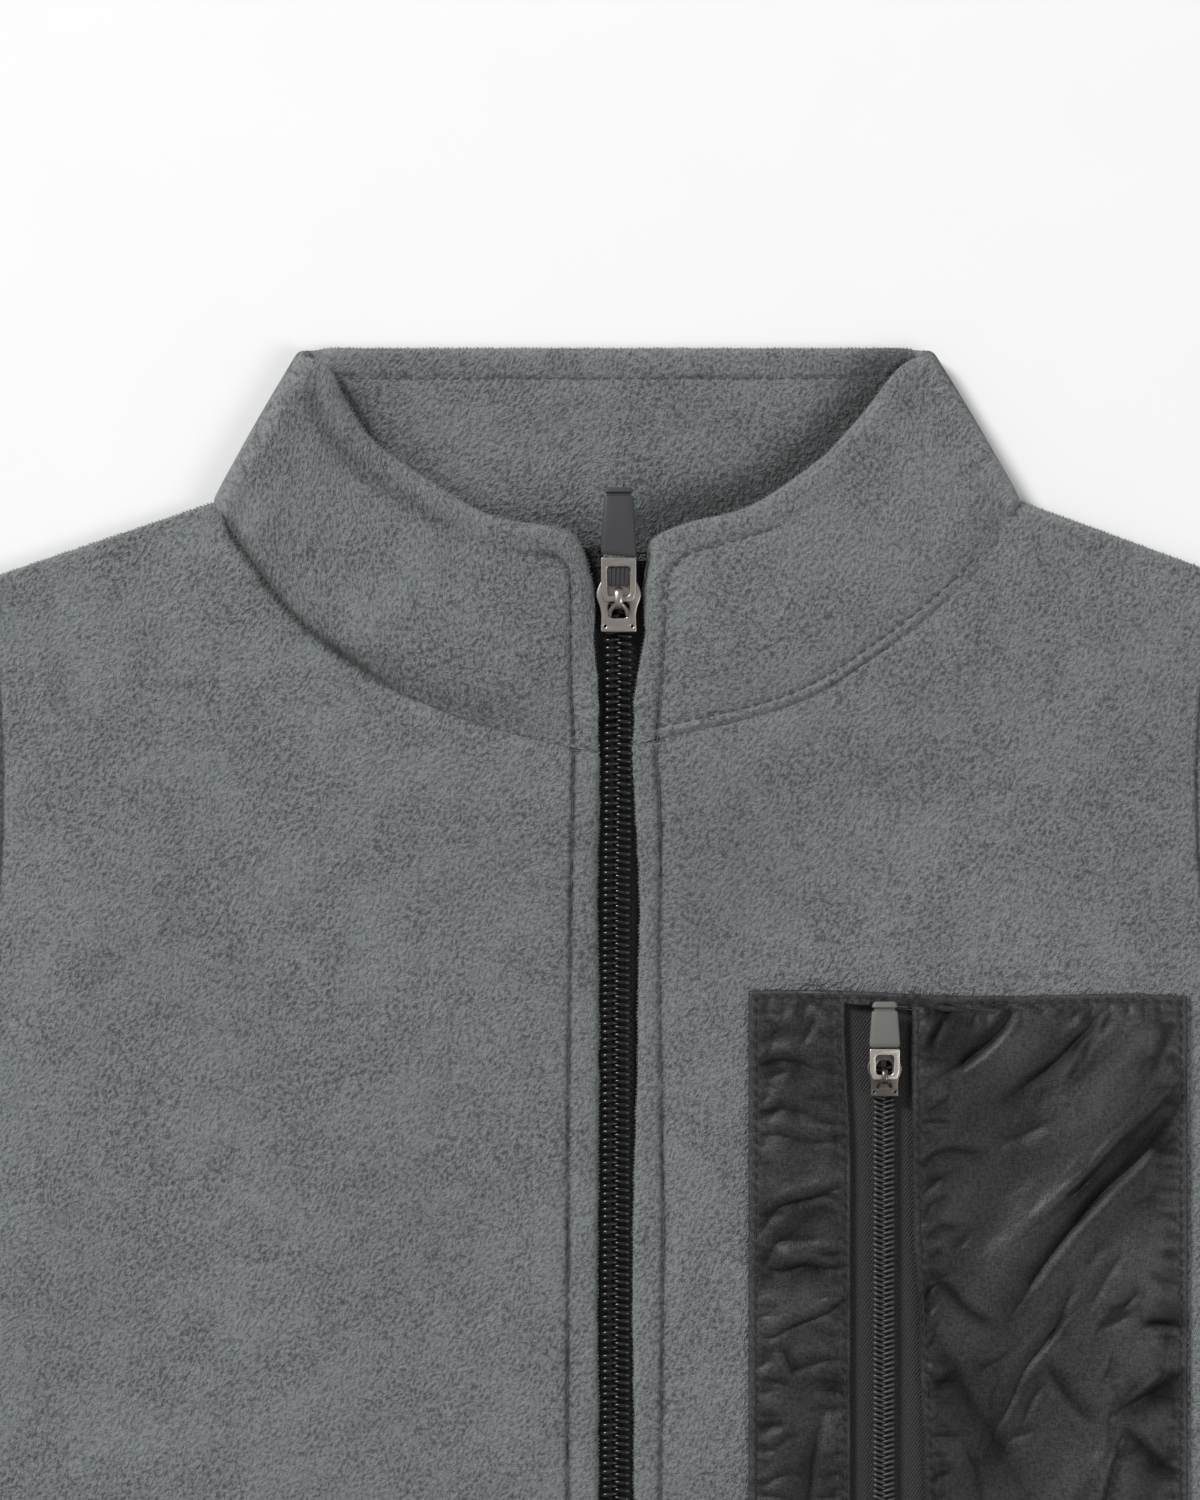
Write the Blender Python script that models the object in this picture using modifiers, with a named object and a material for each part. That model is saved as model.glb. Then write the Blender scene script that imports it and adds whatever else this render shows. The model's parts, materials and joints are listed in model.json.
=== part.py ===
"""A child's fleece gilet, zipped to the top and laid flat on its back.

Metres, +Z up. The hem is at -Y, the collar at +Y, and the underside lies on Z = 0.
Right and left are the wearer's: the right side is at -X, and the chest pocket is on the left, at +X.
"""

import math

import bmesh
import bpy
import numpy as np
from mathutils import Matrix

COLLECTION = "gilet"
CUTTER_COLLECTION = "gilet_cutters"

# Cloth and clearances
FLEECE = 0.0024  # one layer of pile fleece
COLLAR = 0.0036  # two layers of fleece, pressed together
NYLON = 0.0010  # pocket cloth with its crumpled loft
TAPE = 0.0006  # woven zip tape
GAP = 0.0003  # between pieces that touch on the real garment
SEAM = 0.00035  # between panels along the neck seam
SEAM_AT_FOLD = 0.0009  # more, where the collar folds at the shoulder

# The cut, as it lies
HEM_Y = -0.2365
HEM_HALF = 0.178
UNDERARM = (0.180, 0.036)  # half width and height of the armhole's lowest point
COLLAR_TOP_Y = 0.2365
BACK_NECK_Y = 0.1945  # lowest point of the back neck seam
BACK_ARMHOLE_EXTRA = 0.004  # the back is cut less deep at the armhole than the fronts

# Each side's own places. The lists run from the collar's fold at the shoulder to the zip.
SIDES = {
    "right": {
        "sign": -1,
        "tip": (-0.1345, 0.1870),
        "narrow": (-0.1314, 0.1445),
        "top_sag": 0.15,
        "crown": 0.0012,
        "neck": [
            (-0.0818, 0.2048), (-0.0756, 0.1949), (-0.0636, 0.1799), (-0.0474, 0.1678),
            (-0.0312, 0.1604), (-0.0168, 0.1563), (-0.0032, 0.1532),
        ],
        "top": [
            (-0.0645, 0.2353), (-0.0582, 0.2320), (-0.0543, 0.2248), (-0.0486, 0.2168),
            (-0.0371, 0.2086), (-0.0254, 0.2019), (-0.0123, 0.1994), (-0.0082, 0.1978),
            (-0.0059, 0.1943), (-0.0046, 0.1897),
        ],
    },
    "left": {
        "sign": 1,
        "tip": (0.1300, 0.1880),
        "narrow": (0.1260, 0.1445),
        "top_sag": 0.0,
        "crown": 0.0006,
        "neck": [
            (0.0843, 0.2051), (0.0761, 0.1918), (0.0629, 0.1799), (0.0531, 0.1727),
            (0.0420, 0.1656), (0.0310, 0.1613), (0.0100, 0.1563), (0.0046, 0.1548),
        ],
        "top": [
            (0.0664, 0.2353), (0.0592, 0.2324), (0.0519, 0.2238), (0.0467, 0.2178),
            (0.0414, 0.2127), (0.0283, 0.2039), (0.0152, 0.2002), (0.0088, 0.1975),
            (0.0068, 0.1943), (0.0074, 0.1898),
        ],
    },
}

# Front edges beside the zip: height, right front's edge, left front's edge
ZIP_WINDOW = [
    (-0.2365, -0.0031, 0.0042), (0.0000, -0.0031, 0.0043), (0.0410, -0.0033, 0.0041),
    (0.0820, -0.0030, 0.0049), (0.1230, -0.0034, 0.0055), (0.1440, -0.0030, 0.0046),
    (0.1600, -0.0026, 0.0043), (0.1780, -0.0031, 0.0060), (0.1900, -0.0046, 0.0074),
]

# How the front layer lies over the back
FOLD_RADIUS = 0.0026  # middle of the collar's wall, where it folds at the shoulder
NECK_RISE = 0.0054  # the collar's front stands this much higher at the zip than at its folds
NECK_REACH = (0.022, 0.032)  # how far the rise runs down the front: at the shoulder, more at the zip
ZIP_LIFT = 0.0011  # the tapes under the front edges
LOFT = 0.0014  # air under the middle of each front
LOFT_EDGE = 0.030  # distance from the edges over which the loft grows

# Soft folds in the fronts: x, y, direction in degrees, half length, half width, height
SOFT_FOLDS = [
    (-0.1080, 0.1150, 62, 0.030, 0.009, 0.0010), (-0.0980, 0.0700, 78, 0.035, 0.010, -0.0007),
    (-0.0600, 0.0200, 84, 0.050, 0.012, 0.0008), (-0.1250, -0.0500, 70, 0.060, 0.014, 0.0010),
    (-0.0500, -0.1300, 95, 0.060, 0.013, 0.0007), (0.0600, 0.1300, 160, 0.030, 0.010, 0.0006),
    (0.1450, -0.0300, 100, 0.050, 0.011, 0.0009), (0.0700, -0.1300, 82, 0.055, 0.014, 0.0008),
    (0.1200, -0.1600, 100, 0.045, 0.012, -0.0006),
]

# Main zip
CHAIN_X = 0.0006
CHAIN_SHIFT = 0.0005  # sideways, from the chest to the slider
CHAIN_HALF = 0.00295
CHAIN_HEIGHT = 0.0023
TAPE_REACH = 0.0125  # from the chain's middle to the tape's outer edge
TAPE_TOP_Y = 0.1935
TAPE_SLIT = 0.00020  # half the slit between the tapes
SLIDER_Y = 0.1779  # the slider's lower end
PIN_LENGTH = 0.0060
BOX_LENGTH = 0.0095

# Chest pocket
POCKET_X = (0.0277, 0.1176)
POCKET_Y = (-0.0200, 0.1040)
POCKET_WINDOW = (0.0486, 0.0611)
POCKET_CHAIN_X = 0.05535
POCKET_CHAIN_HALF = 0.0022
POCKET_CHAIN_HEIGHT = 0.0018
POCKET_TAPE_LIFT = 0.0011  # the lower shield of the slider runs under the tape
POCKET_TAPE_REACH = 0.0098
POCKET_SLIDER_Y = 0.0832
POCKET_PUFF = 0.0011

# Creases in the pocket cloth: from x, y to x, y, half width, height
POCKET_CREASES = [
    (0.1010, 0.1020, 0.0770, 0.0800, 0.0028, -0.0007), (0.1180, 0.0860, 0.0920, 0.0590, 0.0030, 0.0008),
    (0.1170, 0.0830, 0.0760, 0.0310, 0.0032, -0.0010), (0.0940, 0.0430, 0.0790, 0.0210, 0.0030, -0.0007),
    (0.0800, 0.1010, 0.0640, 0.0840, 0.0030, -0.0007), (0.1170, 0.0280, 0.1030, 0.0160, 0.0028, -0.0008),
    (0.1040, 0.0150, 0.1170, 0.0020, 0.0030, 0.0007), (0.1035, 0.0130, 0.0960, -0.0120, 0.0030, -0.0006),
    (0.0290, 0.0900, 0.0440, 0.0880, 0.0020, -0.0005), (0.0290, 0.0620, 0.0480, 0.0650, 0.0022, -0.0006),
    (0.0290, 0.0370, 0.0480, 0.0460, 0.0020, -0.0005), (0.0400, 0.0200, 0.0380, -0.0100, 0.0022, -0.0005),
]

MATERIALS = {  # sRGB colour, roughness, metallic
    "fleece": ((0.439, 0.455, 0.459), 0.95, 0.0),
    "nylon": ((0.231, 0.231, 0.235), 0.55, 0.0),
    "tape": ((0.170, 0.170, 0.172), 0.85, 0.0),
    "coil": ((0.120, 0.120, 0.122), 0.35, 0.0),
    "metal": ((0.640, 0.615, 0.595), 0.30, 1.0),
    "rubber": ((0.294, 0.294, 0.302), 0.60, 0.0),
}


# ---------------------------------------------------------------- scene and materials


def clear_scene():
    for old in list(bpy.data.objects):
        bpy.data.objects.remove(old)


def collection(name):
    made = bpy.data.collections.new(name)
    bpy.context.scene.collection.children.link(made)
    return made


def linear(value):
    return value / 12.92 if value <= 0.04045 else ((value + 0.055) / 1.055) ** 2.4


def material(name):
    if name in bpy.data.materials:
        return bpy.data.materials[name]
    colour, roughness, metallic = MATERIALS[name]
    made = bpy.data.materials.new(name)
    made.use_nodes = True
    shader = made.node_tree.nodes["Principled BSDF"]
    shader.inputs["Base Color"].default_value = [*map(linear, colour), 1]
    shader.inputs["Roughness"].default_value = roughness
    shader.inputs["Metallic"].default_value = metallic
    return made


def add_object(name, mesh, finish, into, parent=None):
    made = bpy.data.objects.new(name, mesh)
    into.objects.link(made)
    if not mesh.materials:
        mesh.materials.append(material(finish))
    if parent is not None:
        made.parent = parent
        made.matrix_parent_inverse = parent.matrix_world.inverted()
    return made


# ---------------------------------------------------------------- curves and blends


def smooth(value, low=0.0, high=1.0):
    """0 below low, 1 above high, and a soft step between them."""
    t = np.clip((value - low) / (high - low), 0.0, 1.0)
    return t * t * (3 - 2 * t)


class Path:
    """A smooth curve through a few points, read by the distance walked along it."""

    def __init__(self, points, steps=16):
        p = np.array(points, float)
        ends = np.vstack([2 * p[0] - p[1], p, 2 * p[-1] - p[-2]])
        t = (np.arange(steps) / steps)[:, None]
        spans = [
            0.5 * (2 * b + (c - a) * t + (2 * a - 5 * b + 4 * c - d) * t**2 + (3 * b - a - 3 * c + d) * t**3)
            for a, b, c, d in zip(ends, ends[1:], ends[2:], ends[3:])
        ]
        self.points = np.vstack([*spans, p[-1:]])
        steps_walked = np.linalg.norm(np.diff(self.points, axis=0), axis=1)
        self.walked = np.concatenate([[0.0], np.cumsum(steps_walked)])
        self.length = self.walked[-1]

    def at(self, distance):
        return np.array([np.interp(distance, self.walked, self.points[:, k]) for k in range(2)])

    def beside(self, distance, offset):
        """The point at that distance, moved to the right of the way the path runs."""
        step = 0.0005
        ahead = self.at(min(distance + step, self.length)) - self.at(max(distance - step, 0.0))
        ahead /= np.linalg.norm(ahead)
        return self.at(distance) + offset * np.array([ahead[1], -ahead[0]])


NECK = {side: Path(place["neck"]) for side, place in SIDES.items()}
TOP = {side: Path(place["top"]) for side, place in SIDES.items()}
FOLD_INSET = COLLAR / 2 + FOLD_RADIUS  # from the fold's outer face to where the wall lies level


def back_neck_path():
    right, left = NECK["right"].at(0.0), NECK["left"].at(0.0)
    middle, half = (left[0] + right[0]) / 2, (left[0] - right[0]) / 2
    points = [right]
    for share in (-0.8, -0.5, -0.2, 0.2, 0.5, 0.8):
        end = right if share < 0 else left
        points.append((middle + share * half, BACK_NECK_Y + (end[1] - BACK_NECK_Y) * abs(share) ** 2.5))
    return Path([*points, left])


def back_top_path():
    right, left = TOP["right"].at(0.0), TOP["left"].at(0.0)
    level = [(x, COLLAR_TOP_Y) for x in (-0.050, -0.020, 0.020, 0.050)]
    level = [(right[0] + 0.006, COLLAR_TOP_Y), *level, (left[0] - 0.006, COLLAR_TOP_Y)]
    return Path([right, *level, left])


BACK_NECK = back_neck_path()
BACK_TOP = back_top_path()
SEAM_Y = SIDES["right"]["neck"][-1][1]  # where the neck seam meets the zip


def zip_edge(side, y):
    column = 1 if side == "right" else 2
    rows = np.array(ZIP_WINDOW)
    return float(np.interp(y, rows[:, 0], rows[:, column]))


def armhole(side, turn, extra=0.0):
    """A point of the armhole: turn 0 at the underarm, 1 at its narrowest, 2 at the shoulder tip."""
    place = SIDES[side]
    narrow_x, narrow_y = place["narrow"]
    narrow_x += place["sign"] * extra
    if turn <= 1:
        angle = turn * math.pi / 2
        reach_x = place["sign"] * UNDERARM[0] - narrow_x
        reach_y = narrow_y - UNDERARM[1]
        return np.array([narrow_x + reach_x * (1 - math.sin(angle)), narrow_y - reach_y * math.cos(angle)])
    tip_x, tip_y = place["tip"]
    share = turn - 1
    return np.array([narrow_x + (tip_x - narrow_x) * share**2, narrow_y + (tip_y - narrow_y) * share])


def side_seam(side, share):
    half = HEM_HALF + (UNDERARM[0] - HEM_HALF) * share
    return np.array([SIDES[side]["sign"] * half, HEM_Y + (UNDERARM[1] - HEM_Y) * share])


def half_width(side, y):
    """How far the front reaches sideways at that height."""
    if y <= UNDERARM[1]:
        return abs(side_seam(side, (y - HEM_Y) / (UNDERARM[1] - HEM_Y))[0])
    narrow_x, narrow_y = SIDES[side]["narrow"]
    if y >= narrow_y:
        return abs(narrow_x)
    turn = 2 / math.pi * math.acos((narrow_y - y) / (narrow_y - UNDERARM[1]))
    return abs(armhole(side, turn)[0])


# ---------------------------------------------------------------- how the layers lie


def seam_underside(share):
    """Height of the collar's inner face along the front neck seam: share 0 at the fold, 1 at the zip."""
    return 2 * FOLD_RADIUS + NECK_RISE * smooth(share, 0.0, 0.85)


def front_underside(side, x, y):
    """Height of a front's inner face, over the back panel."""
    place = SIDES[side]
    base = FLEECE + GAP
    to_edge = half_width(side, y) - abs(x)
    neck_x, neck_y = place["neck"][0]
    slope = (neck_y - place["tip"][1]) / (abs(place["tip"][0]) - abs(neck_x))
    to_shoulder = neck_y - slope * max(abs(x) - abs(neck_x), 0.0) - y
    inside = smooth(to_edge, 0.0, LOFT_EDGE) * smooth(y - HEM_Y, 0.0, LOFT_EDGE)
    inside *= smooth(to_shoulder, 0.0, LOFT_EDGE)
    from_zip = abs(x - CHAIN_X)
    height = base + inside * (LOFT * smooth(from_zip, 0.010, 0.060) + soft_folds(x, y))
    height += ZIP_LIFT * (1 - smooth(from_zip, 0.014, 0.028))
    seam = NECK[side]
    away = np.linalg.norm(seam.points - (x, y), axis=1)
    nearest = int(np.argmin(away))
    share = max(seam.walked[nearest] - FOLD_INSET, 0.0) / (seam.length - FOLD_INSET)
    reach = NECK_REACH[0] + NECK_REACH[1] * share
    rise = 1 - smooth(away[nearest], 0.0, reach)
    rise *= smooth(to_shoulder, 0.0, 0.016)
    return height + (seam_underside(share) - height) * rise


def soft_folds(x, y):
    total = 0.0
    for at_x, at_y, degrees, half_length, half_wide, height in SOFT_FOLDS:
        along = np.array([math.cos(math.radians(degrees)), math.sin(math.radians(degrees))])
        run = (x - at_x) * along[0] + (y - at_y) * along[1]
        across = (y - at_y) * along[0] - (x - at_x) * along[1]
        total += height * math.exp(-((run / half_length) ** 2) - (across / half_wide) ** 2)
    return total


def zip_underside(y):
    """Height of the front edges' inner face, which the tapes lie under."""
    if y >= SEAM_Y:
        return seam_underside(1.0)
    return front_underside("right", CHAIN_X, y)


def chain_x(y):
    return CHAIN_X + CHAIN_SHIFT * smooth(y, 0.100, 0.174)


# ---------------------------------------------------------------- cloth panels


def grid_mesh(name, rows, upward=True):
    """An open surface through rows of points, all of the same count."""
    wide = len(rows[0])
    corners = [tuple(map(float, point)) for row in rows for point in row]
    faces = []
    for r in range(len(rows) - 1):
        for c in range(wide - 1):
            a = r * wide + c
            face = (a, a + 1, a + wide + 1, a + wide)
            faces.append(face if upward else face[::-1])
    mesh = bpy.data.meshes.new(name)
    mesh.from_pydata(corners, [], faces)
    mesh.shade_smooth()
    return mesh


def cloth(name, rows, thick, finish, into, offset=1.0, upward=True):
    """A wall of cloth: an open surface with thickness added. Offset 1 adds it on top."""
    piece = add_object(name, grid_mesh(name, rows, upward), finish, into)
    wall = piece.modifiers.new("wall", "SOLIDIFY")
    wall.thickness = thick
    wall.offset = offset
    wall.use_even_offset = True
    return piece


def neck_edge(path, distance, from_fold, sign=1):
    """A panel's edge along the neck seam, a seam's gap outside the collar's lower edge."""
    offset = SEAM + SEAM_AT_FOLD * (1 - smooth(from_fold, 0.0, 0.006))
    return path.beside(distance, offset * sign)


def back_neck_edge(distance):
    return neck_edge(BACK_NECK, distance, min(distance, BACK_NECK.length - distance))


def neck_distances(side, count):
    """Distances along the front neck seam, from the zip to the fold, closer near the zip."""
    path = NECK[side]
    shares = [1 - (1 - k / count) ** 1.4 for k in range(count, -1, -1)]
    return [FOLD_INSET + share * (path.length - FOLD_INSET) for share in shares]


def front_rows(side, columns=14):
    """Rows from the zip edge and neck seam to the side seam and armhole, from hem to shoulder."""
    place = SIDES[side]
    low, high = UNDERARM[1], place["neck"][-1][1] - SEAM
    ends = []
    for k in range(14):
        share = k / 14
        y = HEM_Y + (low - HEM_Y) * share
        ends.append(((zip_edge(side, y), y), side_seam(side, share)))
    for k in range(12):
        share = k / 12
        y = low + (high - low) * share
        ends.append(((zip_edge(side, y), y), armhole(side, share)))
    seam = [*neck_distances(side, 12), FOLD_INSET * 0.5, 0.0]
    for k, distance in enumerate(seam):
        inner = neck_edge(NECK[side], distance, distance, -place["sign"])
        ends.append((inner, armhole(side, 1 + k / (len(seam) - 1))))
    rows = []
    for inner, outer in ends:
        row = []
        for k in range(columns + 1):
            x, y = np.array(inner) + (np.array(outer) - np.array(inner)) * k / columns
            row.append((x, y, front_underside(side, x, y)))
        rows.append(row)
    return rows


def back_rows(columns=18):
    """Rows from the right edge to the left, from hem to shoulders and back neck."""
    shoulder = columns // 4  # columns over each shoulder
    rows = []
    for k in range(8):
        share = k / 8
        ends = side_seam("right", share), side_seam("left", share)
        rows.append([ends[0] + (ends[1] - ends[0]) * c / columns for c in range(columns + 1)])
    for k in range(11):
        ends = [armhole(side, k / 10, BACK_ARMHOLE_EXTRA) for side in ("right", "left")]
        rows.append([ends[0] + (ends[1] - ends[0]) * c / columns for c in range(columns + 1)])
    top = []
    tips = [armhole(side, 2, BACK_ARMHOLE_EXTRA) for side in ("right", "left")]
    necks = [back_neck_edge(0.0), back_neck_edge(BACK_NECK.length)]
    for c in range(columns + 1):
        if c < shoulder:
            top.append(tips[0] + (necks[0] - tips[0]) * c / shoulder)
        elif c > columns - shoulder:
            top.append(tips[1] + (necks[1] - tips[1]) * (columns - c) / shoulder)
        else:
            share = (c - shoulder) / (columns - 2 * shoulder)
            top.append(back_neck_edge(share * BACK_NECK.length))
    bottom = rows[-1]
    for k in range(1, 7):
        row = [low + (high - low) * k / 6 for low, high in zip(bottom, top)]
        row[0] = armhole("right", 1 + k / 6, BACK_ARMHOLE_EXTRA)
        row[-1] = armhole("left", 1 + k / 6, BACK_ARMHOLE_EXTRA)
        rows.append(row)
    return [[(x, y, 0.0) for x, y in row] for row in rows]


def collar_ruling(low, high, level_low, level_high, crown=0.0, steps=7):
    """Points of the collar's middle surface from its seam to its top edge."""
    row = []
    for k in range(steps + 1):
        share = k / steps
        x, y = np.array(low) + (np.array(high) - np.array(low)) * share
        z = level_low + (level_high - level_low) * share + crown * math.sin(math.pi * share)
        row.append((x, y, z))
    return row


def collar_front(side, count=22):
    """Rulings of one front half, from the fold to the zip."""
    place, low, high = SIDES[side], NECK[side], TOP[side]
    level = COLLAR / 2 + 2 * FOLD_RADIUS
    rows = []
    for k in range(count + 1):
        share = 1 - (1 - k / count) ** 1.4
        at_low = low.at(FOLD_INSET + share * (low.length - FOLD_INSET))
        at_high = high.at(FOLD_INSET + share * (high.length - FOLD_INSET))
        rise_low = NECK_RISE * smooth(share, 0.0, 0.85)
        rise_high = NECK_RISE * smooth(share, place["top_sag"], 0.9)
        crown = place["crown"] * smooth(share, 0.0, 0.3) * (1 - smooth(share, 0.75, 0.95))
        rows.append(collar_ruling(at_low, at_high, level + rise_low, level + rise_high, crown))
    return rows


def collar_fold(side, steps=8):
    """Rulings round the fold at the shoulder, from the back half up to the front half."""
    middle = COLLAR / 2 + FOLD_RADIUS
    start = 0.0 if side == "right" else 1.0
    rows = []
    for k in range(1, steps):
        angle = math.pi * (k / steps - 0.5)
        distance = COLLAR / 2 + FOLD_RADIUS * (1 - math.cos(angle))
        if angle > 0:
            at_low, at_high = NECK[side].at(distance), TOP[side].at(distance)
        else:
            at_low = BACK_NECK.at(abs(start * BACK_NECK.length - distance))
            at_high = BACK_TOP.at(abs(start * BACK_TOP.length - distance))
        level = middle + FOLD_RADIUS * math.sin(angle)
        rows.append(collar_ruling(at_low, at_high, level, level))
    return rows


def collar_back(count=14):
    rows = []
    for k in range(count + 1):
        share = k / count
        at_low = BACK_NECK.at(FOLD_INSET + share * (BACK_NECK.length - 2 * FOLD_INSET))
        at_high = BACK_TOP.at(FOLD_INSET + share * (BACK_TOP.length - 2 * FOLD_INSET))
        rows.append(collar_ruling(at_low, at_high, COLLAR / 2, COLLAR / 2))
    return rows


def make_panels(parts):
    cloth("back", back_rows(), FLEECE, "fleece", parts)
    cloth("front_right", front_rows("right"), FLEECE, "fleece", parts, upward=False)
    cloth("front_left", front_rows("left"), FLEECE, "fleece", parts)
    rulings = [
        *collar_front("right")[::-1],
        *collar_fold("right")[::-1],
        *collar_back(),
        *collar_fold("left"),
        *collar_front("left"),
    ]
    cloth("collar", rulings, COLLAR, "fleece", parts, offset=0.0)


# ---------------------------------------------------------------- zips


def strip_rows(heights, edges, level):
    """Rows across a strip: edges gives its sides at a height, level the height of its underside."""
    rows = []
    for y in heights:
        start, end = edges(y)
        rows.append([(x, y, level(x, y)) for x in np.linspace(start, end, 3)])
    return rows


def main_tape_edges(side):
    sign = SIDES[side]["sign"]

    def edges(y):
        spread = 0.0030 * smooth(y, SLIDER_Y + 0.0030, SLIDER_Y + 0.0080)
        inner = chain_x(y) + sign * (TAPE_SLIT + spread)
        outer = chain_x(y) + sign * TAPE_REACH
        return (outer, inner) if sign < 0 else (inner, outer)

    return edges


def main_tape_level(side):
    def level(x, y):
        under = seam_underside(1.0) if y >= SEAM_Y else front_underside(side, x, y)
        return under - GAP - TAPE

    return level


def chain_mesh(name, heights, middle, half, tall, level, sides=8):
    """A long rounded bar: the closed coils, seen as one body."""
    rings = []
    for y in heights:
        ring = []
        for k in range(sides):
            angle = 2 * math.pi * (k + 0.5) / sides
            squared = max(abs(math.cos(angle)), abs(math.sin(angle)))
            x = middle(y) + half * math.cos(angle) / squared * (0.90 if k % 2 else 1.0)
            z = level(y) + tall / 2 * (1 + math.sin(angle) / squared)
            ring.append((x, y, z))
        rings.append(ring)
    corners = [point for ring in rings for point in ring]
    faces = []
    for r in range(len(rings) - 1):
        for k in range(sides):
            a, b = r * sides + k, r * sides + (k + 1) % sides
            faces.append((a, b, b + sides, a + sides))
    faces.append(tuple(range(sides))[::-1])
    faces.append(tuple(range(len(corners) - sides, len(corners))))
    mesh = bpy.data.meshes.new(name)
    mesh.from_pydata(corners, [], [face[::-1] for face in faces])
    return mesh


def block(name, size, centre, finish, into, bevel=0.0):
    bpy.ops.mesh.primitive_cube_add(size=1, location=centre)
    made = bpy.context.object
    made.name = name
    made.data.name = name
    for old in list(made.users_collection):
        old.objects.unlink(made)
    into.objects.link(made)
    made.data.transform(Matrix.Diagonal((*size, 1)))
    made.data.materials.append(material(finish))
    if bevel:
        edge = made.modifiers.new("edge", "BEVEL")
        edge.width = bevel
        edge.segments = 1
    return made


def plate(name, outlines, thick, centre, finish, into, bevel=0.0, parent=None):
    """A flat piece: outlines in X and Y, the first the outer one and the rest holes."""
    curve = bpy.data.curves.new(name, "CURVE")
    curve.dimensions = "2D"
    curve.fill_mode = "BOTH"
    curve.extrude = thick / 2
    for outline in outlines:
        spline = curve.splines.new("POLY")
        spline.points.add(len(outline) - 1)
        for point, (x, y) in zip(spline.points, outline):
            point.co = (x, y, 0, 1)
        spline.use_cyclic_u = True
    flat = bpy.data.objects.new(name, curve)
    into.objects.link(flat)
    shape = flat.evaluated_get(bpy.context.evaluated_depsgraph_get())
    mesh = bpy.data.meshes.new_from_object(shape)
    bpy.data.objects.remove(flat)
    bpy.data.curves.remove(curve)
    weld(mesh)
    mesh.transform(Matrix.Translation(centre))
    made = add_object(name, mesh, finish, into, parent)
    if bevel:
        edge = made.modifiers.new("edge", "BEVEL")
        edge.width = bevel
        edge.segments = 1
    return made


def weld(mesh):
    work = bmesh.new()
    work.from_mesh(mesh)
    bmesh.ops.remove_doubles(work, verts=work.verts, dist=0.00001)
    bmesh.ops.recalc_face_normals(work, faces=work.faces)
    work.to_mesh(mesh)
    work.free()


def combine(target, tool, operation):
    """Join a helper to the piece, or cut it away. The helper itself isn't part of the model."""
    step = target.modifiers.new(tool.name, "BOOLEAN")
    step.operation = operation
    step.solver = "EXACT"
    step.object = tool
    tool.hide_render = True
    tool.display_type = "WIRE"


def slider(name, at, size, parts, cutters):
    """A zip slider: two shields joined by a post, with a bridge for the pull on top.

    at is the middle of its lower end, at the height of the chain's underside.
    """
    x, y, z = at
    outline = [(side * half * size["half"], share * size["length"]) for side, table in (
        (1, SLIDER_OUTLINE), (-1, SLIDER_OUTLINE[::-1])) for share, half in table]
    low = z + GAP / 2
    high = z + size["chain"] + GAP + size["plate"]
    body = plate(name, [outline], high - low, (x, y, (low + high) / 2), "metal", parts)
    channel = 2 * (size["chain_half"] + GAP)
    tall = z + size["chain"] + GAP - low + 0.001
    cut = block(name + "_channel", (channel, 2 * size["length"], tall),
                (x, y + size["length"] / 2, low + tall / 2 - 0.001), "metal", cutters)
    combine(body, cut, "DIFFERENCE")
    floor = z - size["tape"] - 2 * GAP
    shield = plate(name + "_lower", [outline], size["shield"], (x, y, floor - size["shield"] / 2),
                   "metal", cutters)
    combine(body, shield, "UNION")
    post_y = y + size["length"] * 0.86
    tall = high - floor + size["shield"] - 0.0004
    post = block(name + "_post", (size["post"], size["length"] * 0.20, tall),
                 (x, post_y, floor - size["shield"] + 0.0002 + tall / 2), "metal", cutters)
    combine(body, post, "UNION")
    axis = high + size["bar"] + GAP
    top = axis + size["bar"] + GAP + size["arch"]
    tall = top - high + 0.0003
    bridge = block(name + "_bridge", (size["bridge"], size["reach"], tall),
                   (x, y + size["axis"], top - tall / 2), "metal", cutters, bevel=size["arch"] * 0.6)
    combine(body, bridge, "UNION")
    bpy.ops.mesh.primitive_cylinder_add(vertices=16, radius=size["bar"] + GAP,
                                        depth=size["bridge"] * 2, location=(x, y + size["axis"], axis),
                                        rotation=(0, math.pi / 2, 0))
    hole = bpy.context.object
    hole.name = name + "_hole"
    for old in list(hole.users_collection):
        old.objects.unlink(hole)
    cutters.objects.link(hole)
    combine(body, hole, "DIFFERENCE")
    return (x, y + size["axis"], axis)


# Share of the slider's length from its lower end, and share of its half width
SLIDER_OUTLINE = [(0.0, 0.76), (0.28, 0.76), (0.50, 0.90), (0.61, 1.0), (0.72, 0.96), (0.90, 0.72), (1.0, 0.55)]

MAIN_SLIDER = {
    "half": 0.0046, "length": 0.0119, "chain": CHAIN_HEIGHT, "chain_half": CHAIN_HALF, "tape": TAPE,
    "plate": 0.0011, "shield": 0.0008, "post": 0.0018, "axis": 0.0067, "bar": 0.0008, "arch": 0.0007,
    "bridge": 0.0018, "reach": 0.0064,
}
POCKET_SLIDER = {
    "half": 0.0036, "length": 0.0090, "chain": POCKET_CHAIN_HEIGHT, "chain_half": POCKET_CHAIN_HALF,
    "tape": TAPE, "plate": 0.0009, "shield": 0.0005, "post": 0.0014, "axis": 0.0040, "bar": 0.0007,
    "arch": 0.0006, "bridge": 0.0014, "reach": 0.0050,
}
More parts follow.
